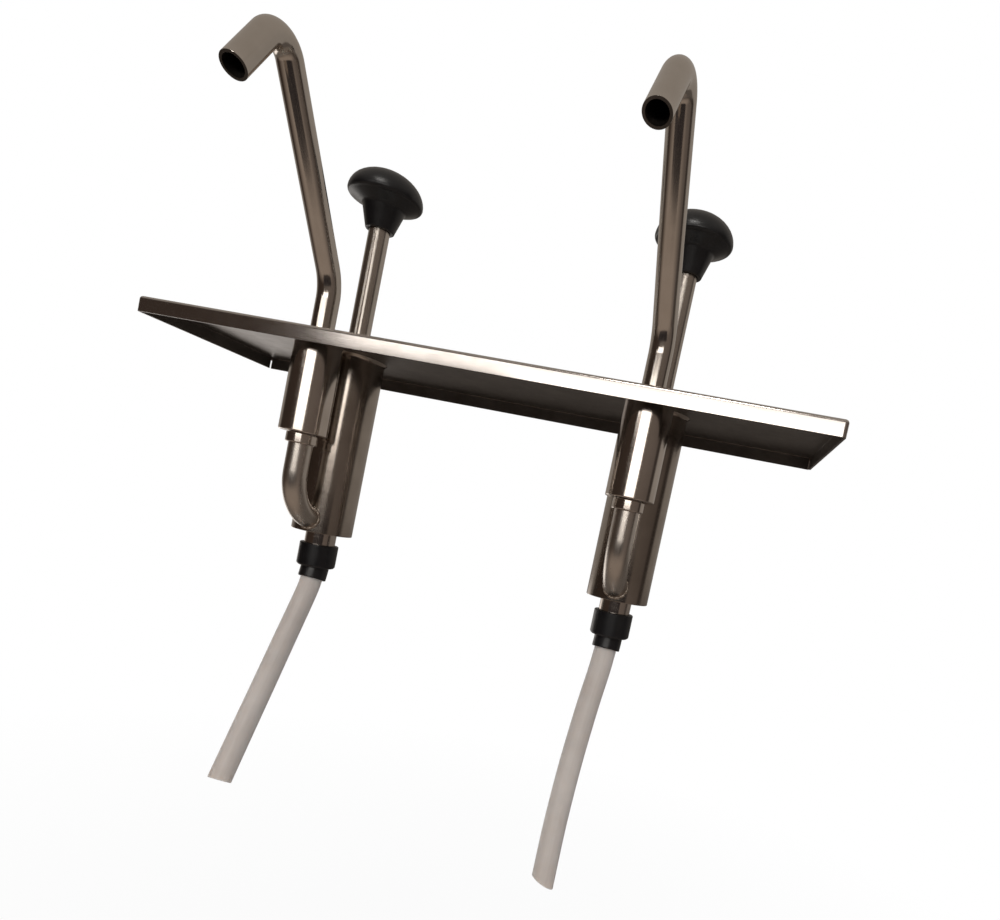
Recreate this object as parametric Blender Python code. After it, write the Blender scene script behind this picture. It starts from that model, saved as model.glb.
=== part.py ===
"""Twin condiment pump: two plunger pumps under one flanged pan lid, each with a hooked spout.

The origin is the middle of the lid's underside, where the lid sits on its pan. +Z is up, +X runs along
the lid and the spouts reach forward over the front edge, towards -Y.
"""

import math

import bmesh
import bpy
from mathutils import Matrix, Vector

MM = 0.001

# The gap kept between touching pieces, and the tighter gap of a ring seal on what slides in it.
FIT = 0.3 * MM
SEAL_PLAY = 0.25 * MM

# Facets round an outer turned piece, an inner one, a bent tube, a ring seal, a ball and a lid bend.
ROUND_STEPS = 20
INNER_STEPS = 16
TUBE_SIDES = 12
SEAL_SIDES = 5
BALL_SEGMENTS = 10
BALL_RINGS = 7
BEND_STEPS = 2

# Points nearer than this are the same point, and edges that meet at over this angle are drawn sharp.
TOLERANCE = 0.01 * MM
SHARP_ANGLE = math.radians(35.0)

# Lid: a pressed sheet with its four edges turned down, over two pans that stand end to end.
LID_LENGTH = 352.0 * MM
LID_WIDTH = 108.0 * MM
LID_SHEET = 1.2 * MM
LID_DEPTH = 8.0 * MM
LID_BEND = 1.4 * MM
LID_CORNER = 1.6 * MM
LID_SLIT = 0.8 * MM

# Where each pump stands on the lid.
PUMP_SPACING = 175.0 * MM
PLUNGER_Y = 4.0 * MM
OUTLET_OFFSET = 35.3 * MM

# Pump cylinder and its base.
CYLINDER_DIAMETER = 33.0 * MM
CYLINDER_WALL = 1.5 * MM
CYLINDER_DEPTH = 100.5 * MM
BASE_THICKNESS = 2.0 * MM

# Inlet: a nipple with a ball seat on top, and a windowed cage over the ball.
NIPPLE_DIAMETER = 16.7 * MM
NIPPLE_WALL = 2.0 * MM
NIPPLE_RISE = 3.0 * MM
NIPPLE_REACH = 14.5 * MM
BALL_DIAMETER = 11.0 * MM
INLET_THROAT = 8.4 * MM
THROAT_LENGTH = 1.5 * MM
SEAT_DEPTH = 2.5 * MM
INLET_LIFT = 3.5 * MM
CAGE_PLAY = 1.4 * MM
CAGE_WALL = 2.3 * MM
CAGE_ROOF = 2.5 * MM
CAGE_ROOF_HOLE = 6.0 * MM
CAGE_WINDOW = 6.0 * MM
CAGE_FOOT = 2.6 * MM

# Plunger: rod, piston with two ring seals, nut and knob.
ROD_DIAMETER = 11.5 * MM
ROD_TAIL_DIAMETER = 8.0 * MM
ROD_TAIL_END = 1.0 * MM
PLUNGER_STROKE = 46.0 * MM
KNOB_MARGIN = 20.5 * MM
PISTON_HEIGHT = 16.0 * MM
PISTON_PLAY = 0.4 * MM
PISTON_SEAL_SECTION = 2.6 * MM
PISTON_SEAL_INSET = 4.2 * MM
PISTON_NUT_FLATS = 13.0 * MM
PISTON_NUT_HEIGHT = 6.5 * MM

# Rod guide that closes the cylinder from above the lid.
GUIDE_RIM = 4.0 * MM
GUIDE_FLANGE = 4.0 * MM
GUIDE_DEPTH = 10.0 * MM
ROD_SEAL_SECTION = 2.4 * MM
ROD_SEAL_DEPTH = 4.0 * MM

# Knob: a mushroom head on a tapered neck.
KNOB_HEAD_DIAMETER = 41.2 * MM
KNOB_NECK_DIAMETER = 15.6 * MM
KNOB_FLARE_DIAMETER = 23.4 * MM
KNOB_FLARE_HEIGHT = 12.5 * MM
KNOB_RIM_HEIGHT = 18.0 * MM
KNOB_DOME_HEIGHT = 14.0 * MM
KNOB_LIP = 2.0 * MM
KNOB_SOCKET = 18.0 * MM
KNOB_DOME_STEPS = 6

# Return spring under the piston.
RETURN_WIRE = 1.8 * MM
RETURN_PLAY = 2.1 * MM
RETURN_TURNS = 6
SPRING_END_GAP = 0.7 * MM
CURL_POINTS = 8
WIRE_BEVEL_STEPS = 1

# Valve housing in front of the cylinder, its ball seat and the spring over the ball.
HOUSING_DIAMETER = 24.0 * MM
HOUSING_WALL = 1.5 * MM
HOUSING_DEPTH = 49.5 * MM
HOUSING_FLOOR = 2.5 * MM
SEAT_HEIGHT = 6.0 * MM
DISCHARGE_THROAT = 8.0 * MM
DISCHARGE_WIRE = 0.9 * MM
DISCHARGE_TURNS = 5

# Bush that holds the spout in the housing.
BUSH_RIM = 1.0 * MM
BUSH_FLANGE = 1.5 * MM
BUSH_DEPTH = 22.0 * MM
BUSH_LIP = 2.5 * MM
BUSH_LIP_HOLE = 6.0 * MM
SPOUT_SEAL_SECTION = 2.4 * MM
SPOUT_SEAL_DEPTH = 9.0 * MM

# Spout: upright in its bush, bent forward, then hooked over and down.
SPOUT_DIAMETER = 11.7 * MM
SPOUT_WALL = 1.0 * MM
SPOUT_KINK_HEIGHT = 28.2 * MM
SPOUT_KINK_RADIUS = 26.0 * MM
SPOUT_LEAN = math.radians(36.0)
SPOUT_RISER = 84.2 * MM
SPOUT_HOOK_RADIUS = 9.8 * MM
SPOUT_HOOK_TURN = math.radians(114.0)
SPOUT_TAIL = 24.2 * MM
SPOUT_KINK_STEPS = 4
SPOUT_HOOK_STEPS = 9
SPOUT_YAW = {"left": math.radians(2.7), "right": math.radians(5.9)}

# Elbow from the housing's floor into the cylinder's side, over the cylinder's foot, and the collar at its top.
ELBOW_DIAMETER = 12.0 * MM
ELBOW_WALL = 1.0 * MM
ELBOW_RADIUS = 24.0 * MM
ELBOW_FOOT = 7.3 * MM
ELBOW_STEPS = 7
COLLAR_WALL = 1.45 * MM
COLLAR_HEIGHT = 5.2 * MM

# Suction end: a soft stepped nut, its washer and the free suction tube.
NUT_DIAMETER = 21.0 * MM
NUT_BARE_NIPPLE = 6.8 * MM
NUT_HEIGHT = 13.3 * MM
NUT_CHAMFER = 1.0 * MM
NUT_NECK_WALL = 1.45 * MM
NUT_NECK_LENGTH = 7.8 * MM
WASHER_THICKNESS = 1.5 * MM
TUBE_DIAMETER = 11.8 * MM
TUBE_BEVEL_STEPS = 3
TUBE_SAMPLES = 16
ROUTE_STEPS = 12

# Each tube's route from the nipple's end, as (x, y, z) in millimetres from the plunger's axis and that end.
TUBE_ROUTE = {
    "left": (
        (0.0, 0.0, 0.0),
        (0.0, -0.2, -5.2),
        (0.0, -1.0, -10.1),
        (0.0, -2.2, -15.0),
        (0.0, -4.9, -22.1),
        (-0.1, -16.2, -46.0),
        (-0.1, -27.5, -69.8),
        (-0.2, -38.8, -93.6),
        (-0.2, -50.1, -117.3),
    ),
    "right": (
        (0.0, 0.0, 0.0),
        (0.0, -0.2, -5.2),
        (-0.1, -0.8, -10.4),
        (-0.3, -1.9, -16.3),
        (-0.8, -4.1, -25.8),
        (-2.1, -8.8, -42.8),
        (-3.5, -16.0, -71.8),
        (-3.8, -23.4, -102.3),
        (-3.0, -30.4, -132.5),
    ),
}

SIDES = {"left": -1.0, "right": 1.0}

# Finishes: base colour, roughness and metallic value.
POLISHED_STEEL = ((0.52, 0.48, 0.44), 0.22, 1.0)
SATIN_STEEL = ((0.50, 0.47, 0.43), 0.34, 1.0)
SPRING_STEEL = ((0.45, 0.44, 0.42), 0.30, 1.0)
BLACK_PLASTIC = ((0.012, 0.012, 0.013), 0.38, 0.0)
BLACK_RUBBER = ((0.015, 0.015, 0.016), 0.60, 0.0)
WHITE_ACETAL = ((0.78, 0.77, 0.73), 0.45, 0.0)
MILKY_TUBE = ((0.50, 0.47, 0.45), 0.40, 0.0)

# Values worked out from the sizes above.
CYLINDER_R = CYLINDER_DIAMETER / 2
BORE_R = CYLINDER_R - CYLINDER_WALL
BASE_TOP = -CYLINDER_DEPTH + BASE_THICKNESS
NIPPLE_R = NIPPLE_DIAMETER / 2
NIPPLE_TOP = BASE_TOP + NIPPLE_RISE
NIPPLE_END = -CYLINDER_DEPTH - NIPPLE_REACH
BALL_R = BALL_DIAMETER / 2
ROD_R = ROD_DIAMETER / 2
ROD_TAIL_R = ROD_TAIL_DIAMETER / 2
GUIDE_TOP = LID_SHEET + FIT + GUIDE_FLANGE
KNOB_BOTTOM = GUIDE_TOP + PLUNGER_STROKE + KNOB_MARGIN
PISTON_TOP = -GUIDE_DEPTH - FIT
PISTON_BOTTOM = PISTON_TOP - PISTON_HEIGHT
HOUSING_R = HOUSING_DIAMETER / 2
HOUSING_BORE_R = HOUSING_R - HOUSING_WALL
FLOOR_TOP = -HOUSING_DEPTH + HOUSING_FLOOR
SPOUT_R = SPOUT_DIAMETER / 2
SPOUT_BOTTOM = -BUSH_DEPTH + BUSH_LIP + FIT
ELBOW_R = ELBOW_DIAMETER / 2
ELBOW_BEND_TOP = -CYLINDER_DEPTH + ELBOW_FOOT + ELBOW_RADIUS
NUT_TOP = -CYLINDER_DEPTH - NUT_BARE_NIPPLE
NUT_STEP = NUT_TOP - NUT_HEIGHT
TUBE_R = TUBE_DIAMETER / 2
TUBE_TOP = NIPPLE_END - FIT
WASHER_BOTTOM = TUBE_TOP - WASHER_THICKNESS


def clear_scene():
    for old in list(bpy.data.objects):
        bpy.data.objects.remove(old, do_unlink=True)


def add_finish(piece, finish):
    """Gives a piece its own Principled material."""
    colour, roughness, metallic = finish
    material = bpy.data.materials.new(piece.name + "_finish")
    material.use_nodes = True
    shader = material.node_tree.nodes["Principled BSDF"]
    shader.inputs["Base Color"].default_value = (*colour, 1.0)
    shader.inputs["Roughness"].default_value = roughness
    shader.inputs["Metallic"].default_value = metallic
    piece.data.materials.append(material)


def add_empty(name, location, turn=0.0):
    """An axis that pieces hang on."""
    empty = bpy.data.objects.new(name, None)
    empty.location = location
    empty.rotation_euler = (0.0, 0.0, turn)
    bpy.context.scene.collection.objects.link(empty)
    return empty


def add_piece(name, shape, finish, parent=None, height=0.0):
    """Turns a bmesh into a named object, smooth on its round faces."""
    mesh = bpy.data.meshes.new(name)
    bmesh.ops.recalc_face_normals(shape, faces=shape.faces)
    shape.to_mesh(mesh)
    shape.free()
    mesh.shade_smooth()
    mesh.set_sharp_from_angle(angle=SHARP_ANGLE)
    piece = bpy.data.objects.new(name, mesh)
    piece.parent = parent
    piece.location.z = height
    bpy.context.scene.collection.objects.link(piece)
    add_finish(piece, finish)
    return piece


def add_cutter(name, shape, parent=None):
    """A helper that only cuts, drawn as wires and left out of renders."""
    cutter = add_piece(name, shape, SATIN_STEEL, parent)
    cutter.hide_render = True
    cutter.display_type = "WIRE"
    return cutter


def cut(piece, cutter, operation="DIFFERENCE"):
    modifier = piece.modifiers.new(cutter.name, "BOOLEAN")
    modifier.operation = operation
    modifier.object = cutter


def turned(outline, steps=ROUND_STEPS):
    """Spins a (radius, height) outline round Z. It closes on itself unless it starts and ends on the axis."""
    shape = bmesh.new()
    points = [shape.verts.new((radius, 0.0, height)) for radius, height in outline]
    pairs = list(zip(points, points[1:]))
    if outline[0][0] > 0.0:
        pairs.append((points[-1], points[0]))
    edges = [shape.edges.new(pair) for pair in pairs]
    bmesh.ops.spin(
        shape,
        geom=points + edges,
        cent=(0.0, 0.0, 0.0),
        axis=(0.0, 0.0, 1.0),
        angle=math.tau,
        steps=steps,
        use_merge=True,
    )
    bmesh.ops.remove_doubles(shape, verts=shape.verts, dist=TOLERANCE)
    return shape


def ring(inner, outer, bottom, top):
    """The outline of a plain ring."""
    return [(inner, top), (outer, top), (outer, bottom), (inner, bottom)]


def ring_seal(centre_radius, section):
    """A round-section ring about Z, at height 0."""
    outline = []
    for step in range(SEAL_SIDES):
        angle = math.tau * step / SEAL_SIDES
        outline.append((centre_radius + section / 2 * math.cos(angle), section / 2 * math.sin(angle)))
    return turned(outline, INNER_STEPS)


def seal_groove(wall, floor, centre, section):
    """Outline points, from the top down, of a groove that holds a ring seal in a wall."""
    half = section / 2 + FIT
    return [(wall, centre + half), (floor, centre + half), (floor, centre - half), (wall, centre - half)]


def ball(diameter):
    shape = bmesh.new()
    bmesh.ops.create_uvsphere(shape, u_segments=BALL_SEGMENTS, v_segments=BALL_RINGS, radius=diameter / 2)
    return shape


def box(size, centre, turn=0.0):
    shape = bmesh.new()
    place = Matrix.Translation(centre) @ Matrix.Rotation(turn, 4, "Z") @ Matrix.Diagonal((*size, 1.0))
    bmesh.ops.create_cube(shape, size=1.0, matrix=place)
    return shape


def round_edges(shape, edges, radius):
    bmesh.ops.bevel(shape, geom=edges, offset=radius, segments=BEND_STEPS, profile=0.5, affect="EDGES")


def ball_height(seat_bottom, throat):
    """The centre of a ball at rest in a 45 degree seat, clear of it by the fit."""
    return seat_bottom + (BALL_R + FIT) * math.sqrt(2.0) - throat / 2


def arc_points(centre, radius, start, sweep, steps):
    """Points after the first one on an arc in the (forward, up) plane."""
    points = []
    for step in range(1, steps + 1):
        angle = start + sweep * step / steps
        points.append((centre[0] + radius * math.cos(angle), centre[1] + radius * math.sin(angle)))
    return points


def tube_rings(shape, path, radius, sides=TUBE_SIDES):
    """Rings of points along a path, each square to it, all turned alike."""
    rings = []
    across = Vector((1.0, 0.0, 0.0))
    for index, point in enumerate(path):
        before = path[max(index - 1, 0)]
        after = path[min(index + 1, len(path) - 1)]
        along = (after - before).normalized()
        across = (across - along * across.dot(along)).normalized()
        beside = along.cross(across)
        spread = 1.0
        if 0 < index < len(path) - 1:
            spread = 1.0 / along.dot((after - point).normalized())
        corners = []
        for side in range(sides):
            angle = math.tau * side / sides
            offset = across * math.cos(angle) + beside * math.sin(angle) * spread
            corners.append(shape.verts.new(point + offset * radius))
        rings.append(corners)
    return rings


def skin(shape, rings):
    """Faces between each ring and the next."""
    for lower, upper in zip(rings, rings[1:]):
        for side in range(len(lower)):
            beyond = (side + 1) % len(lower)
            shape.faces.new((lower[side], lower[beyond], upper[beyond], upper[side]))


def rod_along(path, radius, sides=TUBE_SIDES):
    """A solid round rod along a path."""
    shape = bmesh.new()
    rings = tube_rings(shape, path, radius, sides)
    skin(shape, rings)
    shape.faces.new(rings[0])
    shape.faces.new(rings[-1])
    return shape


def tube_along(path, radius, wall, sides=TUBE_SIDES):
    """An open round tube along a path."""
    shape = bmesh.new()
    outer = tube_rings(shape, path, radius, sides)
    inner = tube_rings(shape, path, radius - wall, sides)
    skin(shape, outer)
    skin(shape, inner)
    skin(shape, [outer[0], inner[0]])
    skin(shape, [outer[-1], inner[-1]])
    return shape


def curve_piece(name, points, diameter, bevel, finish, parent):
    """A round wire or hose as a bevelled curve with filled caps."""
    curve = bpy.data.curves.new(name, "CURVE")
    curve.dimensions = "3D"
    curve.bevel_depth = diameter / 2
    curve.bevel_resolution = bevel
    curve.use_fill_caps = True
    spline = curve.splines.new("POLY")
    spline.points.add(len(points) - 1)
    for knot, point in zip(spline.points, points):
        knot.co = (*point, 1.0)
    piece = bpy.data.objects.new(name, curve)
    piece.parent = parent
    bpy.context.scene.collection.objects.link(piece)
    add_finish(piece, finish)
    return piece


def spring(name, radius, wire, bottom, top, turns, parent):
    """A compression spring with one close turn at each end, from its lowest to its highest wire centre."""
    close = wire + SPRING_END_GAP
    pitch = (top - bottom - 2 * close) / (turns - 2)
    points = []
    for step in range(turns * CURL_POINTS + 1):
        turn = step / CURL_POINTS
        height = bottom + close * min(turn, 1.0) + pitch * min(max(turn - 1.0, 0.0), turns - 2)
        height += close * max(turn - (turns - 1), 0.0)
        angle = math.tau * turn
        points.append(Vector((radius * math.cos(angle), radius * math.sin(angle), height)))
    gap = least_gap(points) - wire
    print(f"{name}: least gap between turns {gap / MM:.2f} mm")
    return curve_piece(name, points, wire, WIRE_BEVEL_STEPS, SPRING_STEEL, parent)


def least_gap(points):
    """The least distance between points of a helix that are over half a turn apart."""
    gaps = []
    for index, point in enumerate(points):
        for other in points[index + CURL_POINTS // 2 + 1 :]:
            gaps.append((other - point).length)
    return min(gaps)


def smooth_route(knots, samples):
    """Evenly spaced points on a smooth curve through a route's own points."""
    fine = []
    for index in range(len(knots) - 1):
        start = knots[index]
        end = knots[index + 1]
        before = knots[index - 1] if index else start * 2 - end
        after = knots[index + 2] if index + 2 < len(knots) else end * 2 - start
        slope = end - before
        bend = 2 * before - 5 * start + 4 * end - after
        twist = 3 * start - before - 3 * end + after
        for step in range(ROUTE_STEPS):
            t = step / ROUTE_STEPS
            fine.append(start + (slope * t + bend * t**2 + twist * t**3) / 2)
    fine.append(knots[-1])
    reach = [0.0]
    for before, after in zip(fine, fine[1:]):
        reach.append(reach[-1] + (after - before).length)
    points = [fine[0]]
    for sample in range(1, samples):
        wanted = reach[-1] * sample / samples
        index = next(place for place, length in enumerate(reach) if length >= wanted)
        share = (wanted - reach[index - 1]) / (reach[index] - reach[index - 1])
        points.append(fine[index - 1].lerp(fine[index], share))
    points.append(fine[-1])
    return points


def spout_path():
    """The spout's centreline in its own frame, with forward along -Y."""
    kink_start = SPOUT_KINK_HEIGHT - SPOUT_KINK_RADIUS * math.tan(SPOUT_LEAN / 2)
    flat = [(0.0, SPOUT_BOTTOM), (0.0, kink_start)]
    kink = (SPOUT_KINK_RADIUS, kink_start)
    flat += arc_points(kink, SPOUT_KINK_RADIUS, math.pi, -SPOUT_LEAN, SPOUT_KINK_STEPS)
    forward, up = flat[-1]
    flat.append((forward + SPOUT_RISER * math.sin(SPOUT_LEAN), up + SPOUT_RISER * math.cos(SPOUT_LEAN)))
    forward, up = flat[-1]
    hook = (forward + SPOUT_HOOK_RADIUS * math.cos(SPOUT_LEAN), up - SPOUT_HOOK_RADIUS * math.sin(SPOUT_LEAN))
    flat += arc_points(hook, SPOUT_HOOK_RADIUS, math.pi - SPOUT_LEAN, -SPOUT_HOOK_TURN, SPOUT_HOOK_STEPS)
    heading = SPOUT_LEAN + SPOUT_HOOK_TURN
    forward, up = flat[-1]
    flat.append((forward + SPOUT_TAIL * math.sin(heading), up + SPOUT_TAIL * math.cos(heading)))
    return [Vector((0.0, -forward, up)) for forward, up in flat]


def elbow_path():
    """The elbow's centreline from the housing's floor, down and back into the cylinder."""
    flat = [(0.0, FLOOR_TOP), (0.0, ELBOW_BEND_TOP)]
    flat += arc_points((ELBOW_RADIUS, ELBOW_BEND_TOP), ELBOW_RADIUS, math.pi, math.pi / 2, ELBOW_STEPS)
    return [Vector((0.0, back, up)) for back, up in flat]


def build_lid():
    """The lid, with a hole round each cylinder and each housing and a slit at the two rear corners."""
    skirt = LID_DEPTH - LID_SHEET
    middle = (LID_SHEET - skirt) / 2
    shape = box((LID_LENGTH, LID_WIDTH, LID_DEPTH), (0.0, 0.0, middle))
    upright = [edge for edge in shape.edges if abs(edge.verts[0].co.z - edge.verts[1].co.z) > LID_DEPTH / 2]
    round_edges(shape, upright, LID_CORNER)
    top = [edge for edge in shape.edges if min(vert.co.z for vert in edge.verts) > LID_SHEET - TOLERANCE]
    round_edges(shape, top, LID_BEND)
    lid = add_piece("lid_plate", shape, SATIN_STEEL)

    hollow = box(
        (LID_LENGTH - 2 * LID_SHEET, LID_WIDTH - 2 * LID_SHEET, 2 * skirt),
        (0.0, 0.0, -skirt),
    )
    upright = [edge for edge in hollow.edges if abs(edge.verts[0].co.z - edge.verts[1].co.z) > skirt]
    round_edges(hollow, upright, LID_CORNER - LID_SHEET)
    top = [edge for edge in hollow.edges if min(vert.co.z for vert in edge.verts) > -TOLERANCE]
    round_edges(hollow, top, LID_BEND - LID_SHEET)
    cut(lid, add_cutter("lid_hollow", hollow))

    for side, sign in SIDES.items():
        across = sign * PUMP_SPACING / 2
        rear_corner = (sign * LID_LENGTH / 2, LID_WIDTH / 2, -skirt)
        slit = box((4 * LID_CORNER, LID_SLIT, 2 * (skirt - LID_BEND)), rear_corner, sign * math.pi / 4)
        cut(lid, add_cutter("lid_slit_" + side, slit))
        holes = (
            ("plunger", PLUNGER_Y, CYLINDER_R + FIT),
            ("outlet", PLUNGER_Y - OUTLET_OFFSET, HOUSING_R + FIT),
        )
        for hole, along, radius in holes:
            drill = turned([(0.0, LID_DEPTH), (radius, LID_DEPTH), (radius, -LID_DEPTH), (0.0, -LID_DEPTH)])
            cutter = add_cutter(f"lid_{hole}_hole_{side}", drill)
            cutter.location = (across, along, 0.0)
            cut(lid, cutter)


def build_cylinder(side, axis):
    """The cylinder, flush with the lid's top, with its discharge port, and the base that closes it."""
    cylinder = add_piece(
        "pump_cylinder_" + side,
        turned(ring(BORE_R, CYLINDER_R, -CYLINDER_DEPTH, LID_SHEET)),
        POLISHED_STEEL,
        axis,
    )
    bend = elbow_path()[2:]
    inner_end = bend[-1] + Vector((0.0, OUTLET_OFFSET - ELBOW_RADIUS, 0.0))
    shift = Vector((0.0, -OUTLET_OFFSET, 0.0))
    port = [point + shift for point in bend[ELBOW_STEPS // 2 :] + [inner_end]]
    cut(cylinder, add_cutter("discharge_port_" + side, rod_along(port, ELBOW_R - ELBOW_WALL), axis))
    base = ring(NIPPLE_R + FIT, BORE_R - FIT, -CYLINDER_DEPTH, BASE_TOP)
    add_piece("cylinder_base_" + side, turned(base, INNER_STEPS), SATIN_STEEL, axis)


def build_inlet(side, axis):
    """The nipple with its ball seat, the ball and the cage over it."""
    throat_r = INLET_THROAT / 2
    bore_r = NIPPLE_R - NIPPLE_WALL
    seat_bottom = NIPPLE_TOP - SEAT_DEPTH
    throat_end = seat_bottom - THROAT_LENGTH
    nipple = [
        (throat_r + SEAT_DEPTH, NIPPLE_TOP),
        (NIPPLE_R, NIPPLE_TOP),
        (NIPPLE_R, NIPPLE_END),
        (bore_r, NIPPLE_END),
        (bore_r, throat_end),
        (throat_r, throat_end),
        (throat_r, seat_bottom),
    ]
    add_piece("inlet_nipple_" + side, turned(nipple, INNER_STEPS), POLISHED_STEEL, axis)

    centre = ball_height(seat_bottom, INLET_THROAT)
    add_piece("inlet_check_ball_" + side, ball(BALL_DIAMETER), POLISHED_STEEL, axis, centre)

    inner = BALL_R + CAGE_PLAY
    foot = NIPPLE_TOP + FIT
    roof = centre + BALL_R + INLET_LIFT + FIT
    cage = [
        (CAGE_ROOF_HOLE / 2, roof + CAGE_ROOF),
        (inner + CAGE_WALL, roof + CAGE_ROOF),
        (inner + CAGE_WALL, foot),
        (inner, foot),
        (inner, roof),
        (CAGE_ROOF_HOLE / 2, roof),
    ]
    cage = add_piece("inlet_ball_cage_" + side, turned(cage, INNER_STEPS), SATIN_STEEL, axis)
    low = foot + CAGE_FOOT
    for name, turn in (("x", 0.0), ("y", math.pi / 2)):
        window = box(
            (4 * (inner + CAGE_WALL), CAGE_WINDOW, roof - low),
            (0.0, 0.0, (roof + low) / 2),
            turn,
        )
        cut(cage, add_cutter(f"cage_window_{name}_{side}", window, axis))


def build_plunger(side, axis):
    """The rod with its piston, seals, nut and knob."""
    tail_end = PISTON_BOTTOM - FIT - PISTON_NUT_HEIGHT - ROD_TAIL_END
    shoulder = PISTON_TOP + FIT
    rod_top = KNOB_BOTTOM + KNOB_SOCKET - FIT
    rod = [
        (0.0, rod_top),
        (ROD_R, rod_top),
        (ROD_R, shoulder),
        (ROD_TAIL_R, shoulder),
        (ROD_TAIL_R, tail_end),
        (0.0, tail_end),
    ]
    add_piece("plunger_rod_" + side, turned(rod), POLISHED_STEEL, axis)

    piston_r = BORE_R - PISTON_PLAY
    seal_r = BORE_R - SEAL_PLAY - PISTON_SEAL_SECTION / 2
    groove_r = seal_r - PISTON_SEAL_SECTION / 2 - FIT
    heights = {"upper": PISTON_TOP - PISTON_SEAL_INSET, "lower": PISTON_BOTTOM + PISTON_SEAL_INSET}
    piston = [(ROD_TAIL_R + FIT, PISTON_TOP), (piston_r, PISTON_TOP)]
    for name, height in heights.items():
        piston += seal_groove(piston_r, groove_r, height, PISTON_SEAL_SECTION)
        seal = ring_seal(seal_r, PISTON_SEAL_SECTION)
        add_piece(f"piston_seal_{name}_{side}", seal, BLACK_RUBBER, axis, height)
    piston += [(piston_r, PISTON_BOTTOM), (ROD_TAIL_R + FIT, PISTON_BOTTOM)]
    add_piece("piston_" + side, turned(piston, INNER_STEPS), WHITE_ACETAL, axis)

    nut_r = PISTON_NUT_FLATS / math.sqrt(3.0)
    nut_top = PISTON_BOTTOM - FIT
    nut_bottom = nut_top - PISTON_NUT_HEIGHT
    hexagon = turned([(0.0, nut_top), (nut_r, nut_top), (nut_r, nut_bottom), (0.0, nut_bottom)], 6)
    nut = add_piece("piston_nut_" + side, hexagon, SATIN_STEEL, axis)
    thread_r = ROD_TAIL_R + FIT
    drill_end = 2 * PISTON_BOTTOM
    drill = turned([(0.0, 0.0), (thread_r, 0.0), (thread_r, drill_end), (0.0, drill_end)], INNER_STEPS)
    cut(nut, add_cutter("piston_nut_hole_" + side, drill, axis))


def build_knob(side, axis):
    """The mushroom knob on its tapered neck, hollowed for the rod."""
    head_r = KNOB_HEAD_DIAMETER / 2
    neck_r = KNOB_NECK_DIAMETER / 2
    flare_r = KNOB_FLARE_DIAMETER / 2
    socket_r = ROD_R + FIT
    outline = [(0.0, KNOB_RIM_HEIGHT + KNOB_DOME_HEIGHT)]
    for step in range(1, KNOB_DOME_STEPS + 1):
        angle = math.pi / 2 * (1.0 - step / KNOB_DOME_STEPS)
        outline.append((head_r * math.cos(angle), KNOB_RIM_HEIGHT + KNOB_DOME_HEIGHT * math.sin(angle)))
    outline += [
        (head_r - KNOB_LIP / 3, KNOB_RIM_HEIGHT - KNOB_LIP * 2 / 3),
        (head_r - KNOB_LIP, KNOB_RIM_HEIGHT - KNOB_LIP),
        (flare_r, KNOB_FLARE_HEIGHT),
        (neck_r, 0.0),
        (socket_r, 0.0),
        (socket_r, KNOB_SOCKET),
        (0.0, KNOB_SOCKET),
    ]
    add_piece("knob_" + side, turned(outline), BLACK_PLASTIC, axis, KNOB_BOTTOM)


def build_guide(side, axis):
    """The guide that carries the rod, and the seal in it."""
    flange_r = CYLINDER_R + GUIDE_RIM
    spigot_r = BORE_R - FIT
    hole_r = ROD_R + FIT
    seal_r = ROD_R + SEAL_PLAY + ROD_SEAL_SECTION / 2
    groove_r = seal_r + ROD_SEAL_SECTION / 2 + FIT
    guide = [
        (hole_r, GUIDE_TOP),
        (flange_r, GUIDE_TOP),
        (flange_r, LID_SHEET + FIT),
        (spigot_r, LID_SHEET + FIT),
        (spigot_r, -GUIDE_DEPTH),
        (hole_r, -GUIDE_DEPTH),
    ]
    guide += reversed(seal_groove(hole_r, groove_r, -ROD_SEAL_DEPTH, ROD_SEAL_SECTION))
    add_piece("rod_guide_" + side, turned(guide, INNER_STEPS), WHITE_ACETAL, axis)
    seal = ring_seal(seal_r, ROD_SEAL_SECTION)
    add_piece("rod_seal_" + side, seal, BLACK_RUBBER, axis, -ROD_SEAL_DEPTH)


def build_return_spring(side, axis):
    spring(
        "return_spring_" + side,
        BORE_R - RETURN_PLAY - RETURN_WIRE / 2,
        RETURN_WIRE,
        BASE_TOP + FIT + RETURN_WIRE / 2,
        PISTON_BOTTOM - FIT - RETURN_WIRE / 2,
        RETURN_TURNS,
        axis,
    )


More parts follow.
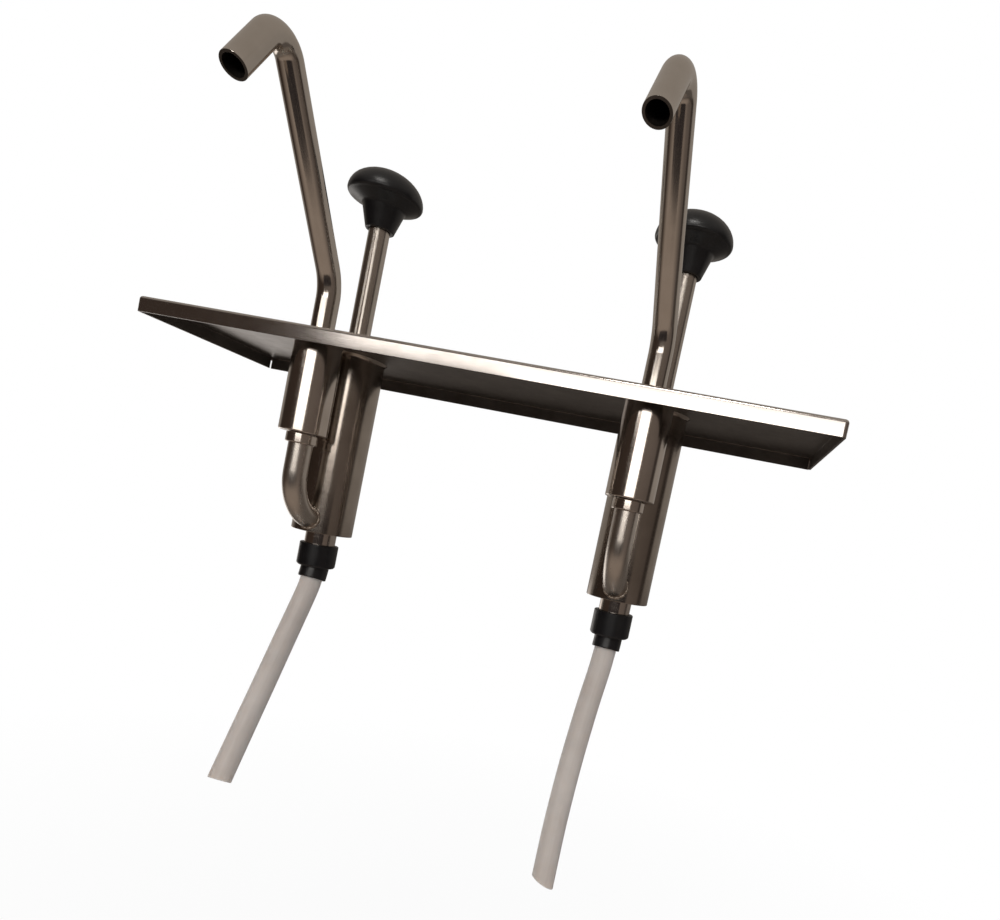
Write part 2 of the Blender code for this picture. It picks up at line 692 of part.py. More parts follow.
def build_outlet_valve(side, axis):
    """The housing, the discharge seat, its ball and the spring that holds the ball down."""
    hole_r = ELBOW_R + FIT
    housing = [
        (HOUSING_BORE_R, LID_SHEET),
        (HOUSING_R, LID_SHEET),
        (HOUSING_R, -HOUSING_DEPTH),
        (hole_r, -HOUSING_DEPTH),
        (hole_r, FLOOR_TOP),
        (HOUSING_BORE_R, FLOOR_TOP),
    ]
    add_piece("valve_housing_" + side, turned(housing), POLISHED_STEEL, axis)

    throat_r = DISCHARGE_THROAT / 2
    low = FLOOR_TOP + FIT
    top = low + SEAT_HEIGHT
    seat = [
        (throat_r + SEAT_DEPTH, top),
        (HOUSING_BORE_R - FIT, top),
        (HOUSING_BORE_R - FIT, low),
        (throat_r, low),
        (throat_r, top - SEAT_DEPTH),
    ]
    add_piece("discharge_seat_" + side, turned(seat, INNER_STEPS), WHITE_ACETAL, axis)

    centre = ball_height(top - SEAT_DEPTH, DISCHARGE_THROAT)
    add_piece("discharge_check_ball_" + side, ball(BALL_DIAMETER), POLISHED_STEEL, axis, centre)

    coil_r = (BUSH_LIP_HOLE + DISCHARGE_WIRE) / 2
    rest = math.sqrt((BALL_R + FIT + DISCHARGE_WIRE / 2) ** 2 - coil_r**2)
    spring(
        "discharge_spring_" + side,
        coil_r,
        DISCHARGE_WIRE,
        centre + rest,
        -BUSH_DEPTH - FIT - DISCHARGE_WIRE / 2,
        DISCHARGE_TURNS,
        axis,
    )


def build_spout(side, axis, swivel):
    """The bush in the housing, its seal and the spout that turns in it."""
    hole_r = SPOUT_R + FIT
    seal_r = SPOUT_R + SEAL_PLAY + SPOUT_SEAL_SECTION / 2
    groove_r = seal_r + SPOUT_SEAL_SECTION / 2 + FIT
    flange_r = HOUSING_R + BUSH_RIM
    body_r = HOUSING_BORE_R - FIT
    lip_top = -BUSH_DEPTH + BUSH_LIP
    bush = [
        (hole_r, LID_SHEET + FIT + BUSH_FLANGE),
        (flange_r, LID_SHEET + FIT + BUSH_FLANGE),
        (flange_r, LID_SHEET + FIT),
        (body_r, LID_SHEET + FIT),
        (body_r, -BUSH_DEPTH),
        (BUSH_LIP_HOLE / 2, -BUSH_DEPTH),
        (BUSH_LIP_HOLE / 2, lip_top),
        (hole_r, lip_top),
    ]
    bush += reversed(seal_groove(hole_r, groove_r, -SPOUT_SEAL_DEPTH, SPOUT_SEAL_SECTION))
    add_piece("spout_bush_" + side, turned(bush, INNER_STEPS), WHITE_ACETAL, axis)
    seal = ring_seal(seal_r, SPOUT_SEAL_SECTION)
    add_piece("spout_seal_" + side, seal, BLACK_RUBBER, axis, -SPOUT_SEAL_DEPTH)
    add_piece("spout_" + side, tube_along(spout_path(), SPOUT_R, SPOUT_WALL), POLISHED_STEEL, swivel)


def build_elbow(side, axis):
    """The elbow, fitted to the cylinder's side, and the collar under the housing."""
    elbow = add_piece(
        "discharge_elbow_" + side,
        tube_along(elbow_path(), ELBOW_R, ELBOW_WALL),
        POLISHED_STEEL,
        axis,
    )
    saddle_r = CYLINDER_R + FIT
    saddle_end = -2 * CYLINDER_DEPTH
    saddle = turned([(0.0, 0.0), (saddle_r, 0.0), (saddle_r, saddle_end), (0.0, saddle_end)])
    saddle = add_cutter("elbow_saddle_" + side, saddle, axis)
    saddle.location.y = OUTLET_OFFSET
    cut(elbow, saddle)
    top = -HOUSING_DEPTH - FIT
    inner = ELBOW_R + FIT
    collar = ring(inner, inner + COLLAR_WALL, top - COLLAR_HEIGHT, top)
    add_piece("elbow_collar_" + side, turned(collar), POLISHED_STEEL, axis)


def build_suction(side, axis):
    """The stepped nut with its bent neck, the washer in it and the free tube."""
    knots = [Vector(knot) * MM + Vector((0.0, 0.0, TUBE_TOP)) for knot in TUBE_ROUTE[side]]
    route = smooth_route(knots, TUBE_SAMPLES)
    curve_piece("suction_tube_" + side, route, TUBE_DIAMETER, TUBE_BEVEL_STEPS, MILKY_TUBE, axis)

    neck_end = NUT_STEP - NUT_NECK_LENGTH
    neck = neck_path(route, WASHER_BOTTOM - FIT, neck_end)
    neck_bore_r = TUBE_R + FIT
    nut_r = NUT_DIAMETER / 2
    body = [
        (0.0, NUT_TOP),
        (nut_r, NUT_TOP),
        (nut_r, NUT_STEP + NUT_CHAMFER),
        (nut_r - NUT_CHAMFER, NUT_STEP),
        (0.0, NUT_STEP),
    ]
    nut = add_piece("suction_nut_" + side, turned(body), BLACK_PLASTIC, axis)
    outer = rod_along(neck, neck_bore_r + NUT_NECK_WALL, ROUND_STEPS)
    cut(nut, add_cutter("nut_neck_" + side, outer, axis), "UNION")
    thread_r = NIPPLE_R + FIT
    socket_end = WASHER_BOTTOM - FIT
    socket = turned([(0.0, 0.0), (thread_r, 0.0), (thread_r, socket_end), (0.0, socket_end)])
    cut(nut, add_cutter("nut_socket_" + side, socket, axis))
    through = neck_path(route, (TUBE_TOP + socket_end) / 2, 2 * neck_end - NUT_STEP)
    cut(nut, add_cutter("nut_bore_" + side, rod_along(through, neck_bore_r, ROUND_STEPS), axis))

    washer = ring(TUBE_R + FIT, NIPPLE_R, WASHER_BOTTOM, TUBE_TOP)
    add_piece("suction_washer_" + side, turned(washer, INNER_STEPS), BLACK_RUBBER, axis)


def neck_path(route, top, bottom):
    """The stretch of a tube's route between two heights."""
    path = []
    for before, after in zip(route, route[1:]):
        for height in (top, bottom):
            if after.z < height <= before.z:
                path.append(before.lerp(after, (before.z - height) / (before.z - after.z)))
        if bottom < after.z < top:
            path.append(after)
    path.sort(key=lambda point: -point.z)
    return path


def build_pump(side, sign):
    across = sign * PUMP_SPACING / 2
    outlet_y = PLUNGER_Y - OUTLET_OFFSET
    plunger_axis = add_empty("plunger_axis_" + side, (across, PLUNGER_Y, 0.0))
    outlet_axis = add_empty("outlet_axis_" + side, (across, outlet_y, 0.0))
    swivel = add_empty("spout_swivel_" + side, (across, outlet_y, 0.0), -SPOUT_YAW[side])
    build_cylinder(side, plunger_axis)
    build_inlet(side, plunger_axis)
    build_plunger(side, plunger_axis)
    build_knob(side, plunger_axis)
    build_guide(side, plunger_axis)
    build_return_spring(side, plunger_axis)
    build_outlet_valve(side, outlet_axis)
    build_spout(side, outlet_axis, swivel)
    build_elbow(side, outlet_axis)
    build_suction(side, plunger_axis)


def build_all():
    clear_scene()
    build_lid()
    for side, sign in SIDES.items():
        build_pump(side, sign)


build_all()
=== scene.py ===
"""Looks of a twin condiment pump: lid, pumps, knobs, spouts and suction tubes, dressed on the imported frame.

The frame is in metres: x runs along the lid, z points up from the lid's underside, and the spouts reach
towards -y. Sizes in the classes are millimetres.
"""

from __future__ import annotations

import logging
import math
from dataclasses import dataclass, field
from enum import Enum
from typing import Callable, Iterable, NamedTuple, Sequence

import bpy
from mathutils import Matrix, Vector
from mathutils.kdtree import KDTree

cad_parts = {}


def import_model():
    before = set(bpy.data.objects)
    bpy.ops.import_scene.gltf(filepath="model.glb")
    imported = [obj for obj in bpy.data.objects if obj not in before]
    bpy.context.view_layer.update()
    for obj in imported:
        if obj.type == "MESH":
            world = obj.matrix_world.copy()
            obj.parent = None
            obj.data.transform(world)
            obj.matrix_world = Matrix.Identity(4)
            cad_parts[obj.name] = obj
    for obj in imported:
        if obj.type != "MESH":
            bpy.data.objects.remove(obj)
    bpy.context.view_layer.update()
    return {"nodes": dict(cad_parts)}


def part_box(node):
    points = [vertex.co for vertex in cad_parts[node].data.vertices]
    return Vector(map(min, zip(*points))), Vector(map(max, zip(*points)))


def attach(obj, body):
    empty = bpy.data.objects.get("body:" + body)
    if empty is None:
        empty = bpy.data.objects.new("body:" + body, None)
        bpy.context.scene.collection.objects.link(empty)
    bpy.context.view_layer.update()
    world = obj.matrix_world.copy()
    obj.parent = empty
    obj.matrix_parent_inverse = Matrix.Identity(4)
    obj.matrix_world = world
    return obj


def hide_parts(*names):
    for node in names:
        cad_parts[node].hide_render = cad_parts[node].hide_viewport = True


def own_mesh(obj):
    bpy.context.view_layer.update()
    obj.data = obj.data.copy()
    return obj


LOG = logging.getLogger("condiment_pump")
MM = 0.001
MERGE = 1e-6
UP = Vector((0.0, 0.0, 1.0))
ACROSS = Vector((1.0, 0.0, 0.0))
UNBENT = "unbent"

Colour = tuple[float, float, float]
Object = bpy.types.Object
Node = bpy.types.Node
Socket = bpy.types.NodeSocket


class Side(Enum):
    """Which of the two pumps a piece belongs to."""

    LEFT = "left"
    RIGHT = "right"

    def of(self, piece: str) -> str:
        """The piece's name on this side."""
        return f"{piece}_{self.value}"


class Slot(Enum):
    """Names of material slots."""

    POLISHED = "polished_steel"
    SATIN = "satin_steel"
    SPRING = "spring_steel"
    PLASTIC = "black_plastic"
    RUBBER = "black_rubber"
    ACETAL = "white_acetal"
    TUBE = "milky_tube"


class Grain(Enum):
    """Which way a surface was worked, as the stretch of its pattern along x, y and z."""

    ALONG_LID = (0.02, 1.0, 1.0)
    ROUND_AXIS = (0.06, 0.06, 1.0)
    DOWN_AXIS = (1.0, 1.0, 0.03)
    EVEN = (1.0, 1.0, 1.0)


class Place(Enum):
    """Where a finish reads its pattern."""

    OBJECT = "object coordinates"
    UNBENT = "coordinates straightened along a bent tube"


# Modelling


def deselect() -> None:
    """Leaves edit mode and deselects everything."""
    if bpy.context.object is not None and bpy.context.object.mode != "OBJECT":
        bpy.ops.object.mode_set(mode="OBJECT")
    bpy.ops.object.select_all(action="DESELECT")


def select_only(piece: Object) -> None:
    """Selects one piece alone and makes it the active one.

    Args:
        piece: The object to select.
    """
    deselect()
    bpy.context.view_layer.objects.active = piece
    piece.select_set(True)


def edit(piece: Object) -> None:
    """Selects one piece alone and opens it in edit mode, with all of its mesh selected.

    Args:
        piece: The mesh object to open.
    """
    select_only(piece)
    bpy.ops.object.mode_set(mode="EDIT")
    bpy.ops.mesh.select_mode(type="VERT")
    bpy.ops.mesh.select_all(action="SELECT")


def close_edit() -> None:
    """Goes back to object mode."""
    bpy.ops.object.mode_set(mode="OBJECT")


def pick_vertices(piece: Object, wanted: Callable[[Vector], bool]) -> None:
    """Opens a piece with only the vertices selected that lie where they are wanted.

    Args:
        piece: The mesh object to open.
        wanted: Says of a vertex's place whether it is selected.
    """
    edit(piece)
    bpy.ops.mesh.select_all(action="DESELECT")
    close_edit()
    for vertex in piece.data.vertices:
        vertex.select = wanted(vertex.co)
    bpy.ops.object.mode_set(mode="EDIT")


def pick_edges(piece: Object, wanted: Callable[[Vector, Vector], bool]) -> None:
    """Opens a piece with only the edges selected whose two ends lie where they are wanted.

    Args:
        piece: The mesh object to open.
        wanted: Says of an edge's two ends whether it is selected.
    """
    edit(piece)
    bpy.ops.mesh.select_all(action="DESELECT")
    bpy.ops.mesh.select_mode(type="EDGE")
    close_edit()
    vertices = piece.data.vertices
    for edge in piece.data.edges:
        edge.select = wanted(*(vertices[index].co for index in edge.vertices))
    bpy.ops.object.mode_set(mode="EDIT")


def close_up(piece: Object) -> None:
    """Merges a piece's doubles and turns its faces outwards.

    Args:
        piece: The mesh object to mend.
    """
    edit(piece)
    bpy.ops.mesh.remove_doubles(threshold=MERGE)
    bpy.ops.mesh.normals_make_consistent(inside=False)
    close_edit()


def apply_modifier(piece: Object, kind: str, **settings: object) -> None:
    """Adds a modifier to a piece and applies it.

    Args:
        piece: The mesh object.
        kind: The modifier's type.
        settings: The modifier's settings by name.
    """
    select_only(piece)
    modifier = piece.modifiers.new(kind.title(), kind)
    for setting, value in settings.items():
        setattr(modifier, setting, value)
    bpy.ops.object.modifier_apply(modifier=modifier.name)


def give_wall(piece: Object, wall: float) -> None:
    """Gives an open shell its wall, inwards, with the inner faces in a second material slot.

    Args:
        piece: The shell's mesh object.
        wall: The wall in millimetres.
    """
    for _ in range(2):
        piece.data.materials.append(None)
    apply_modifier(
        piece,
        "SOLIDIFY",
        thickness=wall * MM,
        offset=-1.0,
        use_even_offset=True,
        material_offset=1,
        material_offset_rim=1,
    )


def block(name: str, low: Vector, high: Vector) -> Object:
    """A plain block between two opposite corners, to be worked further.

    Args:
        name: The piece's name.
        low: Its lowest corner.
        high: Its highest corner.

    Returns:
        The block's mesh object.
    """
    deselect()
    bpy.ops.mesh.primitive_cube_add(size=1.0, location=(low + high) / 2)
    piece = bpy.context.object
    piece.name = name
    piece.scale = high - low
    bpy.ops.object.transform_apply(location=True, rotation=False, scale=True)
    return piece


def soften(piece: Object, width: float, segments: int = 2, over: float = 40.0) -> None:
    """Rounds a piece's sharp edges.

    Args:
        piece: The mesh object.
        width: How far the rounding reaches, in millimetres.
        segments: Faces across the rounding.
        over: Edges that meet at more than this many degrees are rounded.
    """
    apply_modifier(
        piece,
        "BEVEL",
        width=width * MM,
        segments=segments,
        limit_method="ANGLE",
        angle_limit=math.radians(over),
        harden_normals=False,
    )


def cut_away(piece: Object, cutter: Object) -> None:
    """Takes a cutter's shape out of a piece and deletes the cutter.

    Args:
        piece: The mesh object that is cut.
        cutter: The mesh object that cuts.
    """
    apply_modifier(piece, "BOOLEAN", operation="DIFFERENCE", solver="EXACT", object=cutter)
    bpy.data.objects.remove(cutter, do_unlink=True)


@dataclass(frozen=True)
class Corner:
    """A corner of a turned outline: radius, height, and how far its rounding reaches along each side."""

    radius: float
    height: float
    rounding: float = 0.0

    @property
    def point(self) -> Vector:
        """The corner's place beside the z axis, in metres."""
        return Vector((self.radius, 0.0, self.height)) * MM


def turned(
    name: str,
    corners: Sequence[Corner],
    axis: Vector,
    closed: bool = True,
    steps: int = 96,
    segments: int = 5,
) -> Object:
    """Draws an outline by extruding a vertex, rounds its corners and spins it about an upright axis.

    Args:
        name: The piece's name.
        corners: The outline's corners in order.
        axis: A point on the axis; heights are measured from it.
        closed: Whether the outline comes back to its first corner, as for a ring.
        steps: Faces round the axis.
        segments: Faces across each rounding.

    Returns:
        The turned mesh object, with its place in its mesh.
    """
    deselect()
    bpy.ops.mesh.primitive_plane_add(size=MM)
    piece = bpy.context.object
    piece.name = name
    edit(piece)
    bpy.ops.mesh.merge(type="CENTER")
    bpy.ops.transform.translate(value=corners[0].point)
    ring = [*corners, corners[0]] if closed else list(corners)
    for before, after in zip(ring, ring[1:]):
        bpy.ops.mesh.extrude_vertices_move(TRANSFORM_OT_translate={"value": after.point - before.point})
    bpy.ops.mesh.select_all(action="SELECT")
    bpy.ops.mesh.remove_doubles(threshold=MERGE)
    close_edit()
    for rounding in sorted({corner.rounding for corner in corners if corner.rounding}):
        places = [corner.point for corner in corners if corner.rounding == rounding]
        pick_vertices(piece, lambda at: any((at - place).length < MERGE for place in places))
        bpy.ops.mesh.bevel(offset=rounding * MM, segments=segments, affect="VERTICES")
        close_edit()
    edit(piece)
    bpy.ops.mesh.spin(steps=steps, angle=math.tau, center=(0.0, 0.0, 0.0), axis=UP)
    close_up(piece)
    edit(piece)
    bpy.ops.transform.translate(value=axis)
    close_edit()
    return piece


@dataclass(frozen=True)
class Straight:
    """A straight stretch of a bent tube."""

    length: float


@dataclass(frozen=True)
class Bend:
    """A bend of a tube, forward for a positive angle in degrees and back for a negative one."""

    radius: float
    angle: float
    steps: int

    @property
    def turn(self) -> float:
        """The angle in radians."""
        return math.radians(self.angle)

    def centre(self, here: Vector, along: Vector) -> Vector:
        """The point that the bend turns about, from where it begins and the heading there."""
        return here + ACROSS.cross(along) * (math.copysign(self.radius, self.angle) * MM)


Stretch = Straight | Bend


def trace(start: Vector, heading: Vector, stretches: Iterable[Stretch], fine: float = 0.5) -> list[Vector]:
    """The centreline of a bent tube.

    Args:
        start: Where the tube begins, in metres.
        heading: The direction in which it begins.
        stretches: Its straight stretches and bends in order.
        fine: The spacing of the points, in millimetres.

    Returns:
        Points along the centreline.
    """
    here, along, points = start.copy(), heading.copy(), [start.copy()]
    for stretch in stretches:
        if isinstance(stretch, Straight):
            count = max(1, round(stretch.length / fine))
            points += [here + along * (stretch.length * MM * step / count) for step in range(1, count + 1)]
        else:
            turn, centre = stretch.turn, stretch.centre(here, along)
            count = max(2, round(abs(turn) * stretch.radius / fine))
            for step in range(1, count + 1):
                points.append(centre + Matrix.Rotation(turn * step / count, 3, "X") @ (here - centre))
            along = Matrix.Rotation(turn, 3, "X") @ along
        here = points[-1]
    return points


def bent_tube(
    name: str,
    start: Vector,
    heading: Vector,
    stretches: Sequence[Stretch],
    diameter: float,
    wall: float,
    sides: int = 56,
) -> Object:
    """Extrudes and spins a ring along straight stretches and bends, then gives it a wall.

    Args:
        name: The piece's name.
        start: Where the tube begins, in metres.
        heading: Up or down, the direction in which it begins.
        stretches: Its straight stretches and bends in order.
        diameter: The tube's outer diameter.
        wall: The thickness of its wall.
        sides: Faces round the tube.

    Returns:
        The tube as a mesh object.
    """
    deselect()
    bpy.ops.mesh.primitive_circle_add(vertices=sides, radius=diameter / 2 * MM, location=start)
    piece = bpy.context.object
    piece.name = name
    bpy.ops.object.transform_apply(location=True, rotation=False, scale=False)
    edit(piece)
    here, along = start.copy(), heading.copy()
    for stretch in stretches:
        if isinstance(stretch, Straight):
            move = along * (stretch.length * MM)
            bpy.ops.mesh.extrude_region_move(TRANSFORM_OT_translate={"value": move})
            here = here + move
        else:
            turn, centre = stretch.turn, stretch.centre(here, along)
            # Without a window, spin turns the other way.
            bpy.ops.mesh.spin(steps=stretch.steps, angle=-turn, center=centre, axis=ACROSS)
            here = centre + Matrix.Rotation(turn, 3, "X") @ (here - centre)
            along = Matrix.Rotation(turn, 3, "X") @ along
    close_up(piece)
    give_wall(piece, wall)
    return piece


def lengths_along(points: Sequence[Vector]) -> list[float]:
    """How far along a line each of its points is.

    Args:
        points: The line's points.

    Returns:
        The length up to each point, from 0.
    """
    reach = [0.0]
    for before, after in zip(points, points[1:]):
        reach.append(reach[-1] + (after - before).length)
    return reach


def store_unbent(piece: Object, path: Sequence[Vector]) -> None:
    """Keeps each vertex's place on a straightened tube, for patterns that follow its length.

    Args:
        piece: The tube.
        path: Points along the tube's centreline.
    """
    reach = lengths_along(path)
    line = KDTree(len(path))
    for index, point in enumerate(path):
        line.insert(point, index)
    line.balance()
    places: list[float] = []
    for vertex in piece.data.vertices:
        _, index, _ = line.find(vertex.co)
        ahead = path[min(index + 1, len(path) - 1)] - path[max(index - 1, 0)]
        away = vertex.co - path[index]
        beside = ahead.cross(ACROSS).normalized()
        places += [away.dot(ACROSS), away.dot(beside), reach[index]]
    layer = piece.data.attributes.new(UNBENT, "FLOAT_VECTOR", "POINT")
    layer.data.foreach_set("vector", places)


def smooth_route(knots: Sequence[Vector], samples: int, steps: int = 12) -> list[Vector]:
    """Evenly spaced points on a smooth curve through a route's own points.

    Args:
        knots: The route's points.
        samples: Stretches between the points that are returned.
        steps: Points worked out between two knots.

    Returns:
        The evenly spaced points, first and last knot included.
    """
    fine: list[Vector] = []
    for index in range(len(knots) - 1):
        start, end = knots[index], knots[index + 1]
        before = knots[index - 1] if index else start * 2 - end
        after = knots[index + 2] if index + 2 < len(knots) else end * 2 - start
        slope = end - before
        bend = 2 * before - 5 * start + 4 * end - after
        twist = 3 * start - before - 3 * end + after
        for step in range(steps):
            share = step / steps
            fine.append(start + (slope * share + bend * share**2 + twist * share**3) / 2)
    fine.append(knots[-1])
    reach = lengths_along(fine)
    points = [fine[0]]
    for sample in range(1, samples):
        wanted = reach[-1] * sample / samples
        index = next(place for place, length in enumerate(reach) if length >= wanted)
        share = (wanted - reach[index - 1]) / (reach[index] - reach[index - 1])
        points.append(fine[index - 1].lerp(fine[index], share))
    points.append(fine[-1])
    return points


def wire(
    name: str,
    points: Sequence[Vector],
    diameter: float,
    swell: Sequence[float] = (),
    ring: bool = False,
    capped: bool = True,
    resolution: int = 5,
) -> Object:
    """A round wire, bead or open shell along a line of points, as a mesh.

    Args:
        name: The piece's name.
        points: The line, in metres.
        diameter: The wire's diameter.
        swell: A factor on the diameter at each point, if it isn't even.
        ring: Whether the line is closed.
        capped: Whether its ends are closed.
        resolution: How finely its round section is drawn.

    Returns:
        The wire as a mesh object.
    """
    curve = bpy.data.curves.new(name, "CURVE")
    curve.dimensions = "3D"
    curve.bevel_depth = diameter / 2 * MM
    curve.bevel_resolution = resolution
    curve.use_fill_caps = capped
    spline = curve.splines.new("POLY")
    spline.points.add(len(points) - 1)
    spline.use_cyclic_u = ring
    for index, (knot, point) in enumerate(zip(spline.points, points)):
        knot.co = (*point, 1.0)
        knot.radius = swell[index] if swell else 1.0
    piece = bpy.data.objects.new(name, curve)
    bpy.context.scene.collection.objects.link(piece)
    select_only(piece)
    bpy.ops.object.convert(target="MESH")
    piece = bpy.context.object
    close_up(piece)
    return piece


# Finishes


class NodeBoard:
    """A new material's nodes, with short ways to add and join them."""

    def __init__(self, name: str, place: Place = Place.OBJECT) -> None:
        """Starts a material with one Principled shader.

        Args:
            name: The material's name.
            place: Where its patterns are read.
        """
        self.material = bpy.data.materials.new(name)
        self.material.use_nodes = True
        self.tree = self.material.node_tree
        self.tree.nodes.clear()
        self.output = self.add("ShaderNodeOutputMaterial")
        self.shader = self.add("ShaderNodeBsdfPrincipled")
        self.join(self.shader.outputs["BSDF"], self.output.inputs["Surface"])
        if place is Place.OBJECT:
            self.place = self.add("ShaderNodeTexCoord").outputs["Object"]
        else:
            self.place = self.add("ShaderNodeAttribute", attribute_name=UNBENT).outputs["Vector"]

    def add(self, kind: str, **settings: object) -> Node:
        """Adds a node.

        Args:
            kind: The node's type.
            settings: The node's properties by name.

        Returns:
            The new node.
        """
        node = self.tree.nodes.new(kind)
        for setting, value in settings.items():
            setattr(node, setting, value)
        return node

    def join(self, source: Socket, target: Socket) -> None:
        """Links two sockets."""
        self.tree.links.new(source, target)

    def set(self, **values: object) -> None:
        """Sets the shader's own sockets, with spaces in their names written as underscores."""
        for name, value in values.items():
            self.shader.inputs[name.replace("_", " ")].default_value = value

    def noise(
        self, scale: float, detail: float, stretch: Sequence[float] = Grain.EVEN.value, rough: float = 0.55
    ) -> Socket:
        """Adds a noise pattern.

        Args:
            scale: Its features per metre.
            detail: Its octaves.
            stretch: A scale along each axis.
            rough: How strong the finer octaves are.

        Returns:
            The pattern's value.
        """
        mapping = self.add("ShaderNodeMapping")
        mapping.inputs["Scale"].default_value = stretch
        self.join(self.place, mapping.inputs["Vector"])
        noise = self.add("ShaderNodeTexNoise")
        noise.inputs["Scale"].default_value = scale
        noise.inputs["Detail"].default_value = detail
        noise.inputs["Roughness"].default_value = rough
        self.join(mapping.outputs["Vector"], noise.inputs["Vector"])
        return noise.outputs["Fac"]

    def ramp(self, value: Socket, stops: Sequence[tuple[float, Colour]]) -> Socket:
        """Colours a value.

        Args:
            value: The value.
            stops: Positions with their colours, in order.

        Returns:
            The colour.
        """
        ramp = self.add("ShaderNodeValToRGB")
        elements = ramp.color_ramp.elements
        while len(elements) < len(stops):
            elements.new(0.5)
        for element, (position, colour) in zip(elements, stops):
            element.position = position
            element.color = (*colour, 1.0)
        self.join(value, ramp.inputs["Fac"])
        return ramp.outputs["Color"]

    def spread(self, value: Socket, low: float, high: float, start: float = 0.3, end: float = 0.7) -> Socket:
        """Spreads a value over a range.

        Args:
            value: The value.
            low: What it becomes at start.
            high: What it becomes at end.
            start: The value's lower end.
            end: The value's upper end.

        Returns:
            The value in its new range.
        """
        node = self.add("ShaderNodeMapRange")
        for name, number in (("From Min", start), ("From Max", end), ("To Min", low), ("To Max", high)):
            node.inputs[name].default_value = number
        self.join(value, node.inputs["Value"])
        return node.outputs["Result"]

    def combine(self, kind: str, first: Socket, second: Socket | float) -> Socket:
        """Joins two values by a Math node.

        Args:
            kind: The operation.
            first: The first value.
            second: The second value, or a number.

        Returns:
            The result.
        """
        node = self.add("ShaderNodeMath", operation=kind)
        self.join(first, node.inputs[0])
        if isinstance(second, (int, float)):
            node.inputs[1].default_value = second
        else:
            self.join(second, node.inputs[1])
        return node.outputs["Value"]

    def weigh(self, first: Socket, share: float, second: Socket) -> Socket:
        """Mixes two values.

        Args:
            first: The first value.
            share: Its share, from 0 to 1.
            second: The value that takes the rest.

        Returns:
            The mixed value.
        """
        rest = self.combine("MULTIPLY", second, 1.0 - share)
        return self.combine("ADD", self.combine("MULTIPLY", first, share), rest)

    def glow(self, colour: Socket) -> None:
        """Lets the material shine in place of its Principled shader.

        Args:
            colour: The colour in which it shines.
        """
        self.tree.nodes.remove(self.shader)
        glow = self.add("ShaderNodeEmission")
        self.join(colour, glow.inputs["Color"])
        self.join(glow.outputs["Emission"], self.output.inputs["Surface"])

    def tint(self, amount: Socket, under: Socket, over: Colour) -> Socket:
        """Lays a colour over another.

        Args:
            amount: How much of it, from 0 to 1.
            under: The colour below.
            over: The colour laid over it.

        Returns:
            The mixed colour.
        """
        mix = self.add("ShaderNodeMix", data_type="RGBA")
        self.join(amount, mix.inputs[0])
        self.join(under, mix.inputs[6])
        mix.inputs[7].default_value = (*over, 1.0)
        return mix.outputs[2]

    def emboss(self, height: Socket, strength: float, distance: float) -> None:
        """Raises the surface by a pattern.

        Args:
            height: The pattern.
            strength: How strongly it shades.
            distance: The pattern's height in millimetres.
        """
        bump = self.add("ShaderNodeBump")
        bump.inputs["Strength"].default_value = strength
        bump.inputs["Distance"].default_value = distance * MM
        self.join(height, bump.inputs["Height"])
        self.join(bump.outputs["Normal"], self.shader.inputs["Normal"])


@dataclass(frozen=True)
class Finish:
    """What every finish has: a name, two tones and a range of roughness."""

    name: str
    dark: Colour
    light: Colour
    rough: tuple[float, float]

    def material(self) -> bpy.types.Material:
        """The finish as a material, made once.

        Returns:
            The material.
        """
        if self.name not in bpy.data.materials:
            self.paint()
        return bpy.data.materials[self.name]

    def paint(self) -> None:
        """Makes the material's nodes."""
        raise NotImplementedError

    def tone(
        self,
        board: NodeBoard,
        colouring: Socket,
        stops: tuple[float, float],
        wear: Socket,
        ends: tuple[float, float] = (0.3, 0.7),
    ) -> None:
        """Sets the shader's colour and roughness.

        Args:
            board: The material's nodes.
            colouring: The pattern that runs from the dark tone to the light one.
            stops: Where in the pattern the two tones stand.
            wear: The pattern of the roughness.
            ends: The values of that pattern at the lowest and the highest roughness.
        """
        colour = board.ramp(colouring, tuple(zip(stops, (self.dark, self.light))))
        board.join(colour, board.shader.inputs["Base Color"])
        board.join(board.spread(wear, *self.rough, *ends), board.shader.inputs["Roughness"])


@dataclass(frozen=True)
class SteelFinish(Finish):
    """Stainless steel, from drawn and polished to brushed."""

    grain: Grain
    lines: float
    depth: float
    anisotropy: float = 0.0
    anisotropy_turn: float = 0.0
    tangent: str = "Z"
    place: Place = Place.OBJECT
    metal: float = 1.0

    def paint(self) -> None:
        """Worked lines and smears in the roughness, clouds in the colour."""
        board = NodeBoard(self.name, self.place)
        lines = board.noise(self.lines, 3.0, self.grain.value)
        clouds = board.noise(45.0, 4.0)
        smears = board.noise(140.0, 5.0, rough=0.65)
        self.tone(board, clouds, (0.32, 0.68), board.weigh(lines, 0.6, smears), (0.36, 0.64))
        board.emboss(lines, self.depth, 0.02)
        board.set(Metallic=self.metal, Anisotropic=self.anisotropy, Anisotropic_Rotation=self.anisotropy_turn)
        if self.anisotropy:
            tangent = board.add("ShaderNodeTangent", direction_type="RADIAL", axis=self.tangent)
            board.join(tangent.outputs["Tangent"], board.shader.inputs["Tangent"])


@dataclass(frozen=True)
class MouldedFinish(Finish):
    """Moulded plastic or rubber with a fine skin and dull handling marks."""

    skin: float
    depth: float
    subsurface: float = 0.0

    def paint(self) -> None:
        """Handling marks in the colour and the roughness, over a fine skin."""
        board = NodeBoard(self.name)
        marks = board.noise(90.0, 5.0, rough=0.6)
        self.tone(board, marks, (0.35, 0.7), marks)
        board.emboss(board.noise(self.skin, 2.0), self.depth, 0.03)
        board.set(Subsurface_Weight=self.subsurface)
        if self.subsurface:
            board.set(Subsurface_Radius=(1.0, 0.9, 0.8), Subsurface_Scale=2.0 * MM)


